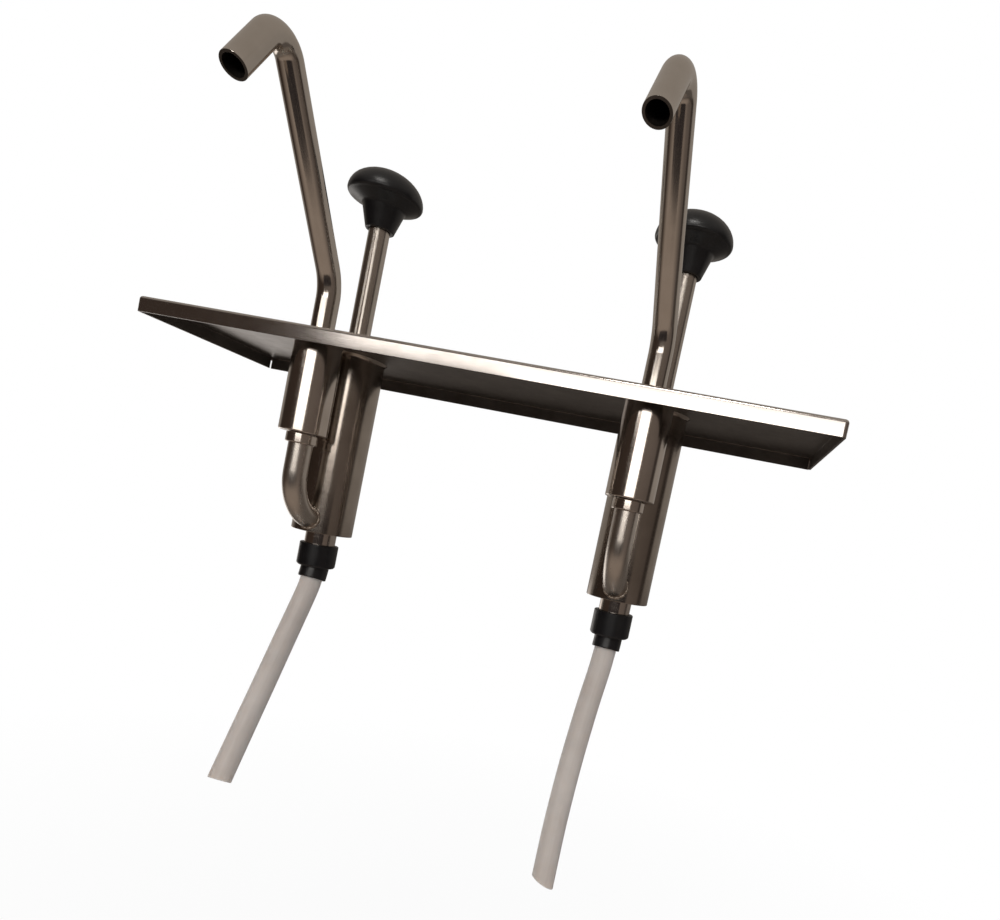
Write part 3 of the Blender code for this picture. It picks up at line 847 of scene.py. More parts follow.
@dataclass(frozen=True)
class MilkyFinish(Finish):
    """Milky soft tube, with faint draw lines down its length."""

    def paint(self) -> None:
        """Draw lines and clouds in the colour, and light that goes in under the surface."""
        board = NodeBoard(self.name, Place.UNBENT)
        lines = board.noise(900.0, 3.0, (1.0, 1.0, 0.02))
        clouds = board.noise(40.0, 4.0)
        self.tone(board, board.weigh(lines, 0.25, clouds), (0.36, 0.64), clouds)
        board.emboss(lines, 0.06, 0.03)
        board.set(Subsurface_Weight=0.7, Subsurface_Radius=(1.0, 0.85, 0.75), Subsurface_Scale=5.0 * MM)


LID_STEEL = SteelFinish(
    "brushed_lid_steel", (0.55, 0.51, 0.48), (0.60, 0.56, 0.53), (0.12, 0.18), Grain.ALONG_LID, 5200.0, 0.03
)
# The lid's inner faces: the same steel as the top, its colour painted darker with the shade under the lid.
LID_UNDERSIDE_PAINTED_SHADE = SteelFinish(
    "lid_underside_painted_shade",
    (0.115, 0.095, 0.08),
    (0.165, 0.14, 0.12),
    (0.32, 0.42),
    Grain.ALONG_LID,
    3600.0,
    0.04,
    metal=0.8,
)
TURNED_STEEL = SteelFinish(
    "polished_can_steel", (0.54, 0.48, 0.43), (0.62, 0.56, 0.51), (0.10, 0.18), Grain.ROUND_AXIS, 1800.0, 0.04
)
CYLINDER_STEEL = SteelFinish(
    "satin_cylinder_steel",
    (0.36, 0.315, 0.275),
    (0.45, 0.40, 0.355),
    (0.14, 0.22),
    Grain.ROUND_AXIS,
    1800.0,
    0.03,
)
ROD_STEEL = SteelFinish(
    "ground_rod_steel",
    (0.54, 0.49, 0.44),
    (0.62, 0.57, 0.52),
    (0.20, 0.26),
    Grain.ROUND_AXIS,
    2400.0,
    0.01,
    anisotropy=0.75,
    anisotropy_turn=0.25,
)
DRAWN_STEEL = SteelFinish(
    "drawn_tube_steel",
    (0.54, 0.49, 0.44),
    (0.62, 0.57, 0.52),
    (0.12, 0.18),
    Grain.DOWN_AXIS,
    1500.0,
    0.012,
    place=Place.UNBENT,
)
ELBOW_STEEL = SteelFinish(
    "satin_elbow_steel",
    (0.56, 0.51, 0.46),
    (0.64, 0.59, 0.54),
    (0.26, 0.34),
    Grain.DOWN_AXIS,
    1500.0,
    0.012,
    place=Place.UNBENT,
)
# Inside the elbow and the spout: the same steel, its colour painted near black with the shade in the bore.
BORE_STEEL_PAINTED_SHADE = SteelFinish(
    "bore_steel_painted_shade", (0.10, 0.09, 0.08), (0.16, 0.14, 0.13), (0.45, 0.6), Grain.EVEN, 900.0, 0.1
)
BEAD_STEEL = SteelFinish(
    "weld_bead_steel", (0.34, 0.28, 0.23), (0.55, 0.49, 0.43), (0.28, 0.45), Grain.EVEN, 1200.0, 0.3
)
PLAIN_STEEL = SteelFinish(
    "plain_steel", (0.50, 0.47, 0.44), (0.60, 0.57, 0.53), (0.22, 0.34), Grain.EVEN, 1500.0, 0.06
)
SPRING_WIRE = SteelFinish(
    "spring_wire", (0.42, 0.41, 0.39), (0.52, 0.50, 0.48), (0.24, 0.36), Grain.EVEN, 1800.0, 0.08
)
BLACK_PLASTIC = MouldedFinish(
    "black_moulded_plastic", (0.004, 0.004, 0.005), (0.008, 0.008, 0.009), (0.28, 0.38), 2200.0, 0.06
)
BLACK_RUBBER = MouldedFinish(
    "black_seal_rubber", (0.012, 0.012, 0.013), (0.022, 0.022, 0.022), (0.5, 0.7), 1500.0, 0.15
)
WHITE_ACETAL = MouldedFinish(
    "white_bush_plastic", (0.66, 0.65, 0.60), (0.76, 0.75, 0.71), (0.35, 0.5), 1600.0, 0.06, subsurface=0.15
)
MILKY_TUBE = MilkyFinish("milky_suction_tube", (0.52, 0.46, 0.42), (0.60, 0.54, 0.50), (0.40, 0.52))


def dress(
    piece: Object,
    body: str,
    nodes: Sequence[str],
    finish: Finish,
    inside: Finish | None = None,
    crease: float = 38.0,
) -> None:
    """Smooths a finished piece, gives it its finish and hands it to the frame.

    Args:
        piece: The finished mesh object.
        body: The body that it rides on.
        nodes: The CAD nodes that it stands for.
        finish: Its finish.
        inside: The finish of its bore or inner faces, a darker copy of the steel with painted shade, if that
            differs.
        crease: Edges over this many degrees stay sharp.
    """
    select_only(piece)
    bpy.ops.object.transform_apply(location=True, rotation=True, scale=True)
    bpy.ops.object.shade_smooth_by_angle(angle=math.radians(crease))
    apply_modifier(piece, "WEIGHTED_NORMAL", keep_sharp=True)
    slots = [face.material_index for face in piece.data.polygons]
    piece.data.materials.clear()
    for each in (finish, inside):
        if each is not None:
            piece.data.materials.append(each.material())
    if inside is not None:
        piece.data.polygons.foreach_set("material_index", slots)
    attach(piece, body)
    if nodes:
        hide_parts(*nodes)
    stands_for = ", ".join(nodes) or "itself"
    LOG.info("%s: %d faces on %s, for %s", piece.name, len(piece.data.polygons), body, stands_for)


def axis_of(node: str) -> Vector:
    """The upright line through the middle of a node's box, at height 0.

    Args:
        node: The CAD node's name.

    Returns:
        The line's foot, in metres.
    """
    low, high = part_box(node)
    return Vector(((low[0] + high[0]) / 2, (low[1] + high[1]) / 2, 0.0))


def radius_of(node: str) -> float:
    """Half of a node's width in millimetres, the radius of a turned one."""
    low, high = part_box(node)
    return (high[0] - low[0]) / 2 / MM


def heights_of(node: str) -> tuple[float, float]:
    """A node's lowest and highest height in millimetres."""
    low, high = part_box(node)
    return low[2] / MM, high[2] / MM


def weld_flare(outer: float, flare: float, gap: float = 0.05, foot: float = 0.15) -> tuple[Corner, ...]:
    """The part of an outline where a can widens into its weld under the lid.

    Args:
        outer: The can's radius.
        flare: How far the weld reaches out, and about how far down.
        gap: The space that is left below the lid.
        foot: How far the weld stands out where its curve ends.

    Returns:
        The corners, from the lid down.
    """
    return (
        Corner(outer, -gap),
        Corner(outer + flare, -gap),
        Corner(outer + foot, -flare, 0.6),
        Corner(outer, -2.2 * flare),
    )


def seal_groove(seal: str, hole: float, play: float) -> tuple[Corner, ...]:
    """The part of a bore's outline that holds a ring seal.

    Args:
        seal: The seal's CAD node.
        hole: The bore's radius.
        play: The space round the seal.

    Returns:
        The corners, from the lowest up.
    """
    bottom, top = heights_of(seal)
    groove = radius_of(seal) + play
    return (
        Corner(hole, bottom - play),
        Corner(groove, bottom - play),
        Corner(groove, top + play),
        Corner(hole, top + play),
    )


# Sub-assemblies


@dataclass
class Lid:
    """The pressed lid with its four edges turned down."""

    sheet: float = 1.2
    corner: float = 2.2
    bend: float = 1.7
    slit: float = 0.8
    hole_play: float = 0.3
    edge: float = 0.18

    def build(self) -> None:
        """Presses the lid out of a block, hollows it, cuts its holes and slits and dresses it."""
        low, high = (Vector(corner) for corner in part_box("lid_plate"))
        lid = block("pressed_lid", low, high)
        pick_edges(lid, lambda one, other: abs(one.z - other.z) > self.bend * MM)
        bpy.ops.mesh.bevel(offset=self.corner * MM, segments=6, affect="EDGES")
        close_edit()
        pick_edges(lid, lambda one, other: min(one.z, other.z) > high.z - MERGE)
        bpy.ops.mesh.bevel(offset=self.bend * MM, segments=6, affect="EDGES")
        close_edit()
        edit(lid)
        bpy.ops.mesh.select_all(action="DESELECT")
        bpy.ops.mesh.select_mode(type="FACE")
        close_edit()
        for face in lid.data.polygons:
            face.select = face.normal.z < -0.9
        bpy.ops.object.mode_set(mode="EDIT")
        bpy.ops.mesh.delete(type="FACE")
        close_edit()
        give_wall(lid, self.sheet)
        for side in Side:
            self.cut_holes(lid, side)
            self.cut_slit(lid, high if side is Side.RIGHT else Vector((low.x, high.y, high.z)), low.z)
        soften(lid, self.edge, 2, 60.0)
        # The underside takes a darker copy of the lid steel, with painted shade.
        dress(lid, "lid", ["lid_plate"], LID_STEEL, LID_UNDERSIDE_PAINTED_SHADE)

    def cut_holes(self, lid: Object, side: Side) -> None:
        """Cuts the holes that a pump's cylinder and housing stand in.

        Args:
            lid: The lid's mesh object.
            side: Which pump.
        """
        for node in (side.of("pump_cylinder"), side.of("valve_housing")):
            deselect()
            bpy.ops.mesh.primitive_cylinder_add(
                vertices=96,
                radius=(radius_of(node) + self.hole_play) * MM,
                depth=20 * self.sheet * MM,
                location=axis_of(node),
            )
            cut_away(lid, bpy.context.object)

    def cut_slit(self, lid: Object, corner: Vector, lowest: float) -> None:
        """Cuts the slit in a rear corner of the turned-down edge.

        Args:
            lid: The lid's mesh object.
            corner: The lid's upper corner there.
            lowest: The height of the lid's lower edge.
        """
        skirt = -lowest / MM
        deselect()
        bpy.ops.mesh.primitive_cube_add(size=1.0, location=(corner.x, corner.y, lowest))
        blade = bpy.context.object
        blade.scale = Vector((4 * self.corner, self.slit, 2 * (skirt - self.bend))) * MM
        blade.rotation_euler.z = math.copysign(math.pi / 4, corner.x)
        cut_away(lid, blade)


@dataclass
class PumpBody:
    """A pump's cylinder under the lid, with its base and the nipple below."""

    side: Side
    wall: float = 1.5
    flare: float = 1.3
    edge: float = 0.35
    base_play: float = 0.3
    base_step: float = 0.4
    base_ledge: float = 0.9
    fillet: float = 0.7
    fillet_height: float = 0.5
    nipple_wall: float = 2.0
    throat: float = 8.4
    throat_length: float = 1.5
    seat_depth: float = 2.5

    def build(self) -> None:
        """Builds and dresses the cylinder, the base and the nipple."""
        self.build_cylinder()
        self.build_base()
        self.build_nipple()

    def build_cylinder(self) -> None:
        """Turns the cylinder with a small weld flare under the lid, and cuts the discharge port."""
        node = self.side.of("pump_cylinder")
        outer = radius_of(node)
        bottom, top = heights_of(node)
        inner = outer - self.wall
        cylinder = turned(
            self.side.of("steel_cylinder"),
            (
                Corner(inner, top),
                Corner(outer, top),
                *weld_flare(outer, self.flare),
                Corner(outer, bottom, self.edge),
                Corner(inner, bottom, self.edge),
            ),
            axis_of(node),
        )
        elbow = Elbow(self.side)
        port = elbow.plug(self.side.of("port_cutter"))
        cut_away(cylinder, port)
        dress(cylinder, "lid", [node], CYLINDER_STEEL)

    def build_base(self) -> None:
        """Turns the base, a disc with a shallow step round its edge and a weld fillet round the nipple."""
        node = self.side.of("cylinder_base")
        outer = radius_of(node)
        bottom, top = heights_of(node)
        ledge = bottom + self.base_step
        hole = radius_of(self.side.of("inlet_nipple")) + self.base_play
        base = turned(
            self.side.of("cylinder_base_disc"),
            (
                Corner(hole, top),
                Corner(outer, top, self.edge),
                Corner(outer, ledge, 0.2),
                Corner(outer - self.base_ledge, ledge, 0.2),
                Corner(outer - self.base_ledge - self.base_step, bottom, 0.3),
                Corner(hole + self.fillet, bottom, 0.3),
                Corner(hole, bottom + self.fillet_height),
            ),
            axis_of(node),
        )
        dress(base, "lid", [node], PLAIN_STEEL)

    def build_nipple(self) -> None:
        """Turns the nipple with the inlet ball's seat on top."""
        node = self.side.of("inlet_nipple")
        outer = radius_of(node)
        bottom, top = heights_of(node)
        throat = self.throat / 2
        seat = top - self.seat_depth
        nipple = turned(
            self.side.of("steel_nipple"),
            (
                Corner(throat + self.seat_depth, top, 0.2),
                Corner(outer, top, self.edge),
                Corner(outer, bottom, 0.6),
                Corner(outer - self.nipple_wall, bottom, 0.2),
                Corner(outer - self.nipple_wall, seat - self.throat_length, 0.2),
                Corner(throat, seat - self.throat_length, 0.2),
                Corner(throat, seat, 0.2),
            ),
            axis_of(node),
        )
        dress(nipple, "lid", [node], TURNED_STEEL)


@dataclass
class Plunger:
    """A plunger's rod with its knob, and the guide that the rod slides in."""

    side: Side
    tail: float = 8.0
    shoulder: float = -10.0
    head: float = 41.2
    neck: float = 15.6
    flare: float = 23.4
    flare_height: float = 12.5
    rim_height: float = 18.0
    dome_height: float = 14.0
    lip: float = 2.0
    lip_curve: tuple[tuple[float, float, float], ...] = (
        (0.12, 0.45, 0.3),
        (0.42, 0.85, 0.4),
        (1.0, 1.0, 0.5),
    )
    socket: float = 18.0
    socket_play: float = 0.3
    dome_steps: int = 14
    boss: float = 0.62
    boss_foot: float = 0.66
    boss_height: float = 0.7

    def build(self) -> None:
        """Builds and dresses the rod, the knob and the guide."""
        self.build_rod()
        self.build_knob()
        self.build_guide()

    def rod_radius(self) -> float:
        """The rod's radius in millimetres."""
        return radius_of(self.side.of("plunger_rod"))

    def build_rod(self) -> None:
        """Turns the rod, with the stepped tail that carries the piston."""
        node = self.side.of("plunger_rod")
        bottom, top = heights_of(node)
        radius = self.rod_radius()
        rod = turned(
            self.side.of("steel_rod"),
            (
                Corner(0.0, top),
                Corner(radius, top, 0.6),
                Corner(radius, self.shoulder, 0.2),
                Corner(self.tail / 2, self.shoulder),
                Corner(self.tail / 2, bottom, 0.6),
                Corner(0.0, bottom),
            ),
            axis_of(node),
            closed=False,
        )
        dress(rod, self.side.of("plunger"), [node], ROD_STEEL)

    def build_knob(self) -> None:
        """Turns the mushroom knob with its tapered neck and the socket for the rod."""
        node = self.side.of("knob")
        bottom, _ = heights_of(node)
        head, neck, flare = self.head / 2, self.neck / 2, self.flare / 2
        socket = self.rod_radius() + self.socket_play
        outline = [Corner(0.0, bottom + self.rim_height + self.dome_height)]
        for step in range(1, self.dome_steps + 1):
            angle = math.pi / 2 * (1.0 - step / self.dome_steps)
            height = self.rim_height + self.dome_height * math.sin(angle)
            outline.append(Corner(head * math.cos(angle), bottom + height))
        for inwards, down, rounding in self.lip_curve:
            height = self.rim_height - self.lip * down
            outline.append(Corner(head - self.lip * inwards, bottom + height, rounding))
        outline += [
            Corner(flare, bottom + self.flare_height, 0.8),
            Corner(neck, bottom, 0.5),
            Corner(socket, bottom, 0.3),
            Corner(socket, bottom + self.socket),
            Corner(0.0, bottom + self.socket),
        ]
        knob = turned(self.side.of("black_knob"), outline, axis_of(node), closed=False)
        dress(knob, self.side.of("plunger"), [node], BLACK_PLASTIC)

    def build_guide(self) -> None:
        """Turns the guide's flange and spigot, with the groove for the rod's seal."""
        node = self.side.of("rod_guide")
        flange = radius_of(node)
        bottom, top = heights_of(node)
        spigot = radius_of(self.side.of("pump_cylinder")) - PumpBody.wall - self.socket_play
        hole = self.rod_radius() + self.socket_play
        seat = heights_of(self.side.of("pump_cylinder"))[1] + self.socket_play
        cut = seal_groove(self.side.of("rod_seal"), hole, self.socket_play)
        guide = turned(
            self.side.of("white_guide"),
            (
                Corner(hole, top, 0.5),
                Corner(flange * self.boss, top, 0.4),
                Corner(flange * self.boss_foot, top - self.boss_height, 0.4),
                Corner(flange, top - self.boss_height, 0.9),
                Corner(flange, seat, 0.3),
                Corner(spigot, seat),
                Corner(spigot, bottom, 0.6),
                Corner(hole, bottom, 0.3),
                *cut,
            ),
            axis_of(node),
        )
        dress(guide, "lid", [node], WHITE_ACETAL)


@dataclass
class Elbow:
    """The pipe from the cylinder's foot up into the valve housing, with its collar and weld."""

    side: Side
    diameter: float = 12.0
    wall: float = 1.0
    radius: float = 24.0
    foot: float = 7.3
    saddle_play: float = 0.3
    floor: float = 2.5
    weld: float = 1.5
    weld_points: int = 96
    weld_reach: float = 0.1
    ripples: tuple[tuple[float, int, float], ...] = ((0.16, 11, 0.0), (0.10, 23, 0.7))
    port_reach: float = 10.0

    def route(self) -> tuple[Vector, list[Stretch]]:
        """Where the elbow begins, in the housing's floor, and its stretches from there.

        Returns:
            The start, and the stretches down and back.
        """
        housing = self.side.of("valve_housing")
        cylinder_bottom, _ = heights_of(self.side.of("pump_cylinder"))
        start = heights_of(housing)[0] + self.floor
        bend_top = cylinder_bottom + self.foot + self.radius
        stretches: list[Stretch] = [Straight(start - bend_top), Bend(self.radius, 90.0, 30)]
        return axis_of(housing) + UP * (start * MM), stretches

    def build(self) -> None:
        """Builds and dresses the elbow, its weld and its collar."""
        self.build_pipe()
        self.build_weld()
        self.build_collar()

    def saddle(self, extra: float) -> Object:
        """A plain turned block with the cylinder's outside, for cutting the elbow's end.

        Args:
            extra: How much larger its radius is than the cylinder's.

        Returns:
            The cutter.
        """
        node = self.side.of("pump_cylinder")
        outer = radius_of(node) + extra
        bottom = 2 * heights_of(node)[0]
        return turned(
            "saddle_cutter",
            (Corner(0.0, 0.0), Corner(outer, 0.0), Corner(outer, bottom), Corner(0.0, bottom)),
            axis_of(node),
            closed=False,
        )

    def plug(self, name: str) -> Object:
        """A solid rod along the elbow's bore, for cutting the cylinder's port.

        Args:
            name: The cutter's name.

        Returns:
            The cutter.
        """
        start, stretches = self.route()
        path = trace(start, -UP, [*stretches, Straight(self.port_reach)])
        return wire(name, path[len(path) // 2 :: 4], self.diameter - 2 * self.wall)

    def build_pipe(self) -> None:
        """Bends the pipe and fits its end to the cylinder."""
        node = self.side.of("discharge_elbow")
        start, stretches = self.route()
        pipe = bent_tube(self.side.of("bent_elbow"), start, -UP, stretches, self.diameter, self.wall)
        cut_away(pipe, self.saddle(self.saddle_play / 3))
        close_up(pipe)
        store_unbent(pipe, trace(start, -UP, stretches))
        # The bore takes a darker copy of the steel, with painted shade.
        dress(pipe, "lid", [node], ELBOW_STEEL, BORE_STEEL_PAINTED_SHADE)

    def build_weld(self) -> None:
        """Lays an uneven bead where the elbow meets the cylinder."""
        start, stretches = self.route()
        path = trace(start, -UP, stretches, 0.1)
        node = self.side.of("pump_cylinder")
        axis, reach = axis_of(node), (radius_of(node) + self.weld_reach) * MM
        points, swell = [], []
        for step in range(self.weld_points):
            angle = math.tau * step / self.weld_points
            for index in range(len(path) - 1):
                ahead = (path[index + 1] - path[index]).normalized()
                beside = ahead.cross(ACROSS)
                outwards = ACROSS * math.cos(angle) + beside * math.sin(angle)
                point = path[index] + outwards * (self.diameter / 2 * MM)
                if (point - axis).to_2d().length <= reach:
                    points.append(point)
                    break
            waves = (size * math.sin(count * angle + shift) for size, count, shift in self.ripples)
            swell.append(1.0 + sum(waves))
        bead = wire(self.side.of("elbow_weld"), points, self.weld, swell, ring=True)
        dress(bead, "lid", [], BEAD_STEEL, crease=60.0)

    def build_collar(self) -> None:
        """Turns the collar at the pipe's top."""
        node = self.side.of("elbow_collar")
        outer = radius_of(node)
        bottom, top = heights_of(node)
        inner = self.diameter / 2 + self.saddle_play
        collar = turned(
            self.side.of("steel_collar"),
            (
                Corner(inner, top),
                Corner(outer, top, 0.4),
                Corner(outer, bottom, 0.6),
                Corner(inner, bottom, 0.3),
            ),
            axis_of(node),
        )
        dress(collar, "lid", [node], TURNED_STEEL)


@dataclass
class Outlet:
    """The valve housing under the lid, the bush in it and the hooked spout."""

    side: Side
    yaw: float
    wall: float = 1.5
    floor: float = 2.5
    flare: float = 1.2
    play: float = 0.3
    lip: float = 2.5
    lip_hole: float = 6.0
    spout_diameter: float = 11.7
    spout_wall: float = 1.3
    kink_height: float = 28.2
    kink_radius: float = 26.0
    lean: float = 36.0
    riser: float = 84.2
    hook_radius: float = 9.8
    hook_turn: float = 114.0
    tail: float = 24.2

    def build(self) -> None:
        """Builds and dresses the housing, the bush and the spout."""
        self.build_housing()
        self.build_bush()
        self.build_spout()

    def build_housing(self) -> None:
        """Turns the housing, with a weld flare under the lid and a rolled lower edge."""
        node = self.side.of("valve_housing")
        outer = radius_of(node)
        bottom, top = heights_of(node)
        inner = outer - self.wall
        hole = Elbow.diameter / 2 + self.play
        housing = turned(
            self.side.of("steel_housing"),
            (
                Corner(inner, top),
                Corner(outer, top),
                *weld_flare(outer, self.flare),
                Corner(outer, bottom, 0.7),
                Corner(hole, bottom, 0.2),
                Corner(hole, bottom + self.floor),
                Corner(inner, bottom + self.floor),
            ),
            axis_of(node),
        )
        dress(housing, "lid", [node], TURNED_STEEL)

    def build_bush(self) -> None:
        """Turns the bush with its flange on the lid, its lip under the spout and its seal groove."""
        node = self.side.of("spout_bush")
        flange = radius_of(node)
        bottom, top = heights_of(node)
        hole = self.spout_diameter / 2 + self.play
        housing = self.side.of("valve_housing")
        body = radius_of(housing) - self.wall - self.play
        seat = heights_of(housing)[1] + self.play
        cut = seal_groove(self.side.of("spout_seal"), hole, self.play)
        bush = turned(
            self.side.of("white_bush"),
            (
                Corner(hole, top, 0.3),
                Corner(flange, top, 0.6),
                Corner(flange, seat, 0.2),
                Corner(body, seat),
                Corner(body, bottom, 0.5),
                Corner(self.lip_hole / 2, bottom, 0.2),
                Corner(self.lip_hole / 2, bottom + self.lip, 0.2),
                Corner(hole, bottom + self.lip),
                *cut,
            ),
            axis_of(node),
        )
        dress(bush, "lid", [node], WHITE_ACETAL)

    def build_spout(self) -> None:
        """Bends the spout forward and over into its hook, and turns it to where it stands."""
        node = self.side.of("spout")
        axis = axis_of(self.side.of("spout_bush"))
        bottom, _ = heights_of(node)
        kink_start = self.kink_height - self.kink_radius * math.tan(math.radians(self.lean) / 2)
        stretches: list[Stretch] = [
            Straight(kink_start - bottom),
            Bend(self.kink_radius, self.lean, 14),
            Straight(self.riser),
            Bend(self.hook_radius, self.hook_turn, 44),
            Straight(self.tail),
        ]
        start = UP * (bottom * MM)
        name = self.side.of("hooked_spout")
        spout = bent_tube(name, start, UP, stretches, self.spout_diameter, self.spout_wall, 64)
        soften(spout, 0.18)
        store_unbent(spout, trace(start, UP, stretches))
        spout.data.transform(Matrix.Translation(axis) @ Matrix.Rotation(math.radians(-self.yaw), 4, "Z"))
        # The bore takes a darker copy of the steel, with painted shade.
        dress(spout, self.side.of("spout_arm"), [node], DRAWN_STEEL, BORE_STEEL_PAINTED_SHADE)


@dataclass
class SuctionEnd:
    """The stepped nut under a pump and its free suction tube."""

    side: Side
    knots: tuple[tuple[float, float, float], ...]
    end_slant: float
    tube_diameter: float = 11.8
    tube_wall: float = 1.7
    tube_play: float = 0.3
    nut: float = 21.0
    nut_height: float = 13.3
    chamfer: float = 1.0
    socket_depth: float = 9.8
    nipple: float = 16.7
    neck_wall: float = 1.45
    neck_length: float = 7.8
    neck_overlap: float = 1.5
    bore_points: int = 60
    samples: int = 36

    def build(self) -> None:
        """Builds and dresses the tube and the nut."""
        self.build_tube()
        self.build_nut()

    def route(self, samples: int) -> list[Vector]:
        """The tube's centreline from the nipple's end.

        Args:
            samples: Stretches between its points.

        Returns:
            Its points, in metres.
        """
        nipple_end, _ = heights_of(self.side.of("inlet_nipple"))
        top = axis_of(self.side.of("pump_cylinder")) + UP * ((nipple_end - self.tube_play) * MM)
        return smooth_route([top + Vector(knot) * MM for knot in self.knots], samples)

    def build_tube(self) -> None:
        node = self.side.of("suction_tube")
        path = self.route(self.samples)
        name = self.side.of("milky_tube")
        tube = wire(name, path, self.tube_diameter, capped=False, resolution=10)
        apply_modifier(tube, "SOLIDIFY", thickness=self.tube_wall * MM, offset=-1.0, use_even_offset=True)
        if self.end_slant:
            self.cut_end(tube, path)
        soften(tube, 0.25)
        store_unbent(tube, self.route(8 * self.samples))
        dress(tube, "lid", [node], MILKY_TUBE)

    def cut_end(self, tube: Object, path: Sequence[Vector]) -> None:
        """Cuts the tube's lower end at a slant, longest on its right.

        Args:
            tube: The tube's mesh object.
            path: Its centreline.
        """
        ahead = (path[-1] - path[-2]).normalized()
        beside = (ACROSS - ahead * ACROSS.dot(ahead)).normalized()
        slant = math.radians(self.end_slant)
        normal = ahead * math.cos(slant) - beside * math.sin(slant)
        edit(tube)
        bpy.ops.mesh.bisect(
            plane_co=path[-1] + beside * (self.tube_diameter / 2 * MM),
            plane_no=normal,
            use_fill=True,
            clear_outer=True,
        )
        close_edit()

    def build_nut(self) -> None:
        """Turns the nut's body and joins the neck that leans with the tube."""
        node = self.side.of("suction_nut")
        axis = axis_of(self.side.of("pump_cylinder"))
        top = heights_of(node)[1]
        step = top - self.nut_height
        bore = self.tube_diameter / 2 + self.tube_play
        socket = self.nipple / 2 + self.tube_play
        outer = self.nut / 2
        nut = turned(
            self.side.of("black_nut"),
            (
                Corner(socket, top, 0.4),
                Corner(outer, top, 0.6),
                Corner(outer, step + self.chamfer, 0.4),
                Corner(outer - self.chamfer, step, 0.5),
                Corner(bore, step),
                Corner(bore, top - self.socket_depth),
                Corner(socket, top - self.socket_depth),
            ),
            axis,
        )
        path = self.route(4 * self.samples)
        neck_bottom, neck_top = (step - self.neck_length) * MM, (step + self.neck_overlap) * MM
        along_neck = [point for point in path if neck_bottom < point.z < neck_top]
        neck = wire("neck", along_neck, 2 * (bore + self.neck_wall))
        soften(neck, 0.5, 3)
        apply_modifier(nut, "BOOLEAN", operation="UNION", solver="EXACT", object=neck)
        bpy.data.objects.remove(neck, do_unlink=True)
        through = [point for point in path if point.z < (top - self.socket_depth + 1.0) * MM]
        cut_away(nut, wire("bore", through[: self.bore_points], 2 * bore))
        dress(nut, "lid", [node], BLACK_PLASTIC)


class Coil(NamedTuple):
    """A spring: its node, wire, radius at the wire's middle, turns, what presses it and which end stays."""

    node: str
    wire: float
    radius: float
    turns: int
    joint: str
    travel: float
    held_at_top: bool


@dataclass
class Springs:
    """A pump's two springs: the return spring under the piston and the one over the discharge ball."""

    side: Side
    coils: tuple[Coil, ...] = (
        Coil("return_spring", 1.8, 12.0, 6, "plunger_slide", 46.0, held_at_top=False),
        Coil("discharge_spring", 0.9, 3.45, 5, "discharge_ball_lift", 3.0, held_at_top=True),
    )
    end_gap: float = 0.7
    points_per_turn: int = 36

    def build(self) -> None:
        """Winds both springs."""
        for coil in self.coils:
            self.wind(coil)

    def wind(self, coil: Coil) -> None:
        """Winds a spring with a close turn at each end, dresses it and gives it a mesh of its own.

        Args:
            coil: Which spring.
        """
        node = self.side.of(coil.node)
        axis = axis_of(node)
        low, high = heights_of(node)
        bottom, top = low + coil.wire / 2, high - coil.wire / 2
        close = coil.wire + self.end_gap
        pitch = (top - bottom - 2 * close) / (coil.turns - 2)
        points = []
        for step in range(coil.turns * self.points_per_turn + 1):
            turn = step / self.points_per_turn
            height = bottom + close * min(turn, 1.0) + pitch * min(max(turn - 1.0, 0.0), coil.turns - 2)
            height += close * max(turn - (coil.turns - 1), 0.0)
            angle = math.tau * turn
            across, along = coil.radius * math.cos(angle), coil.radius * math.sin(angle)
            points.append(axis + Vector((across, along, height)) * MM)
        spring = wire(self.side.of(f"coiled_{coil.node}"), points, coil.wire)
        dress(spring, "lid", [node], SPRING_WIRE, crease=60.0)
        self.side.of(coil.joint)
        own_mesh(spring)


class Seal(NamedTuple):
    """A ring seal: its CAD node, the body that carries it and its section in millimetres."""

    node: str
    body: str
    section: float


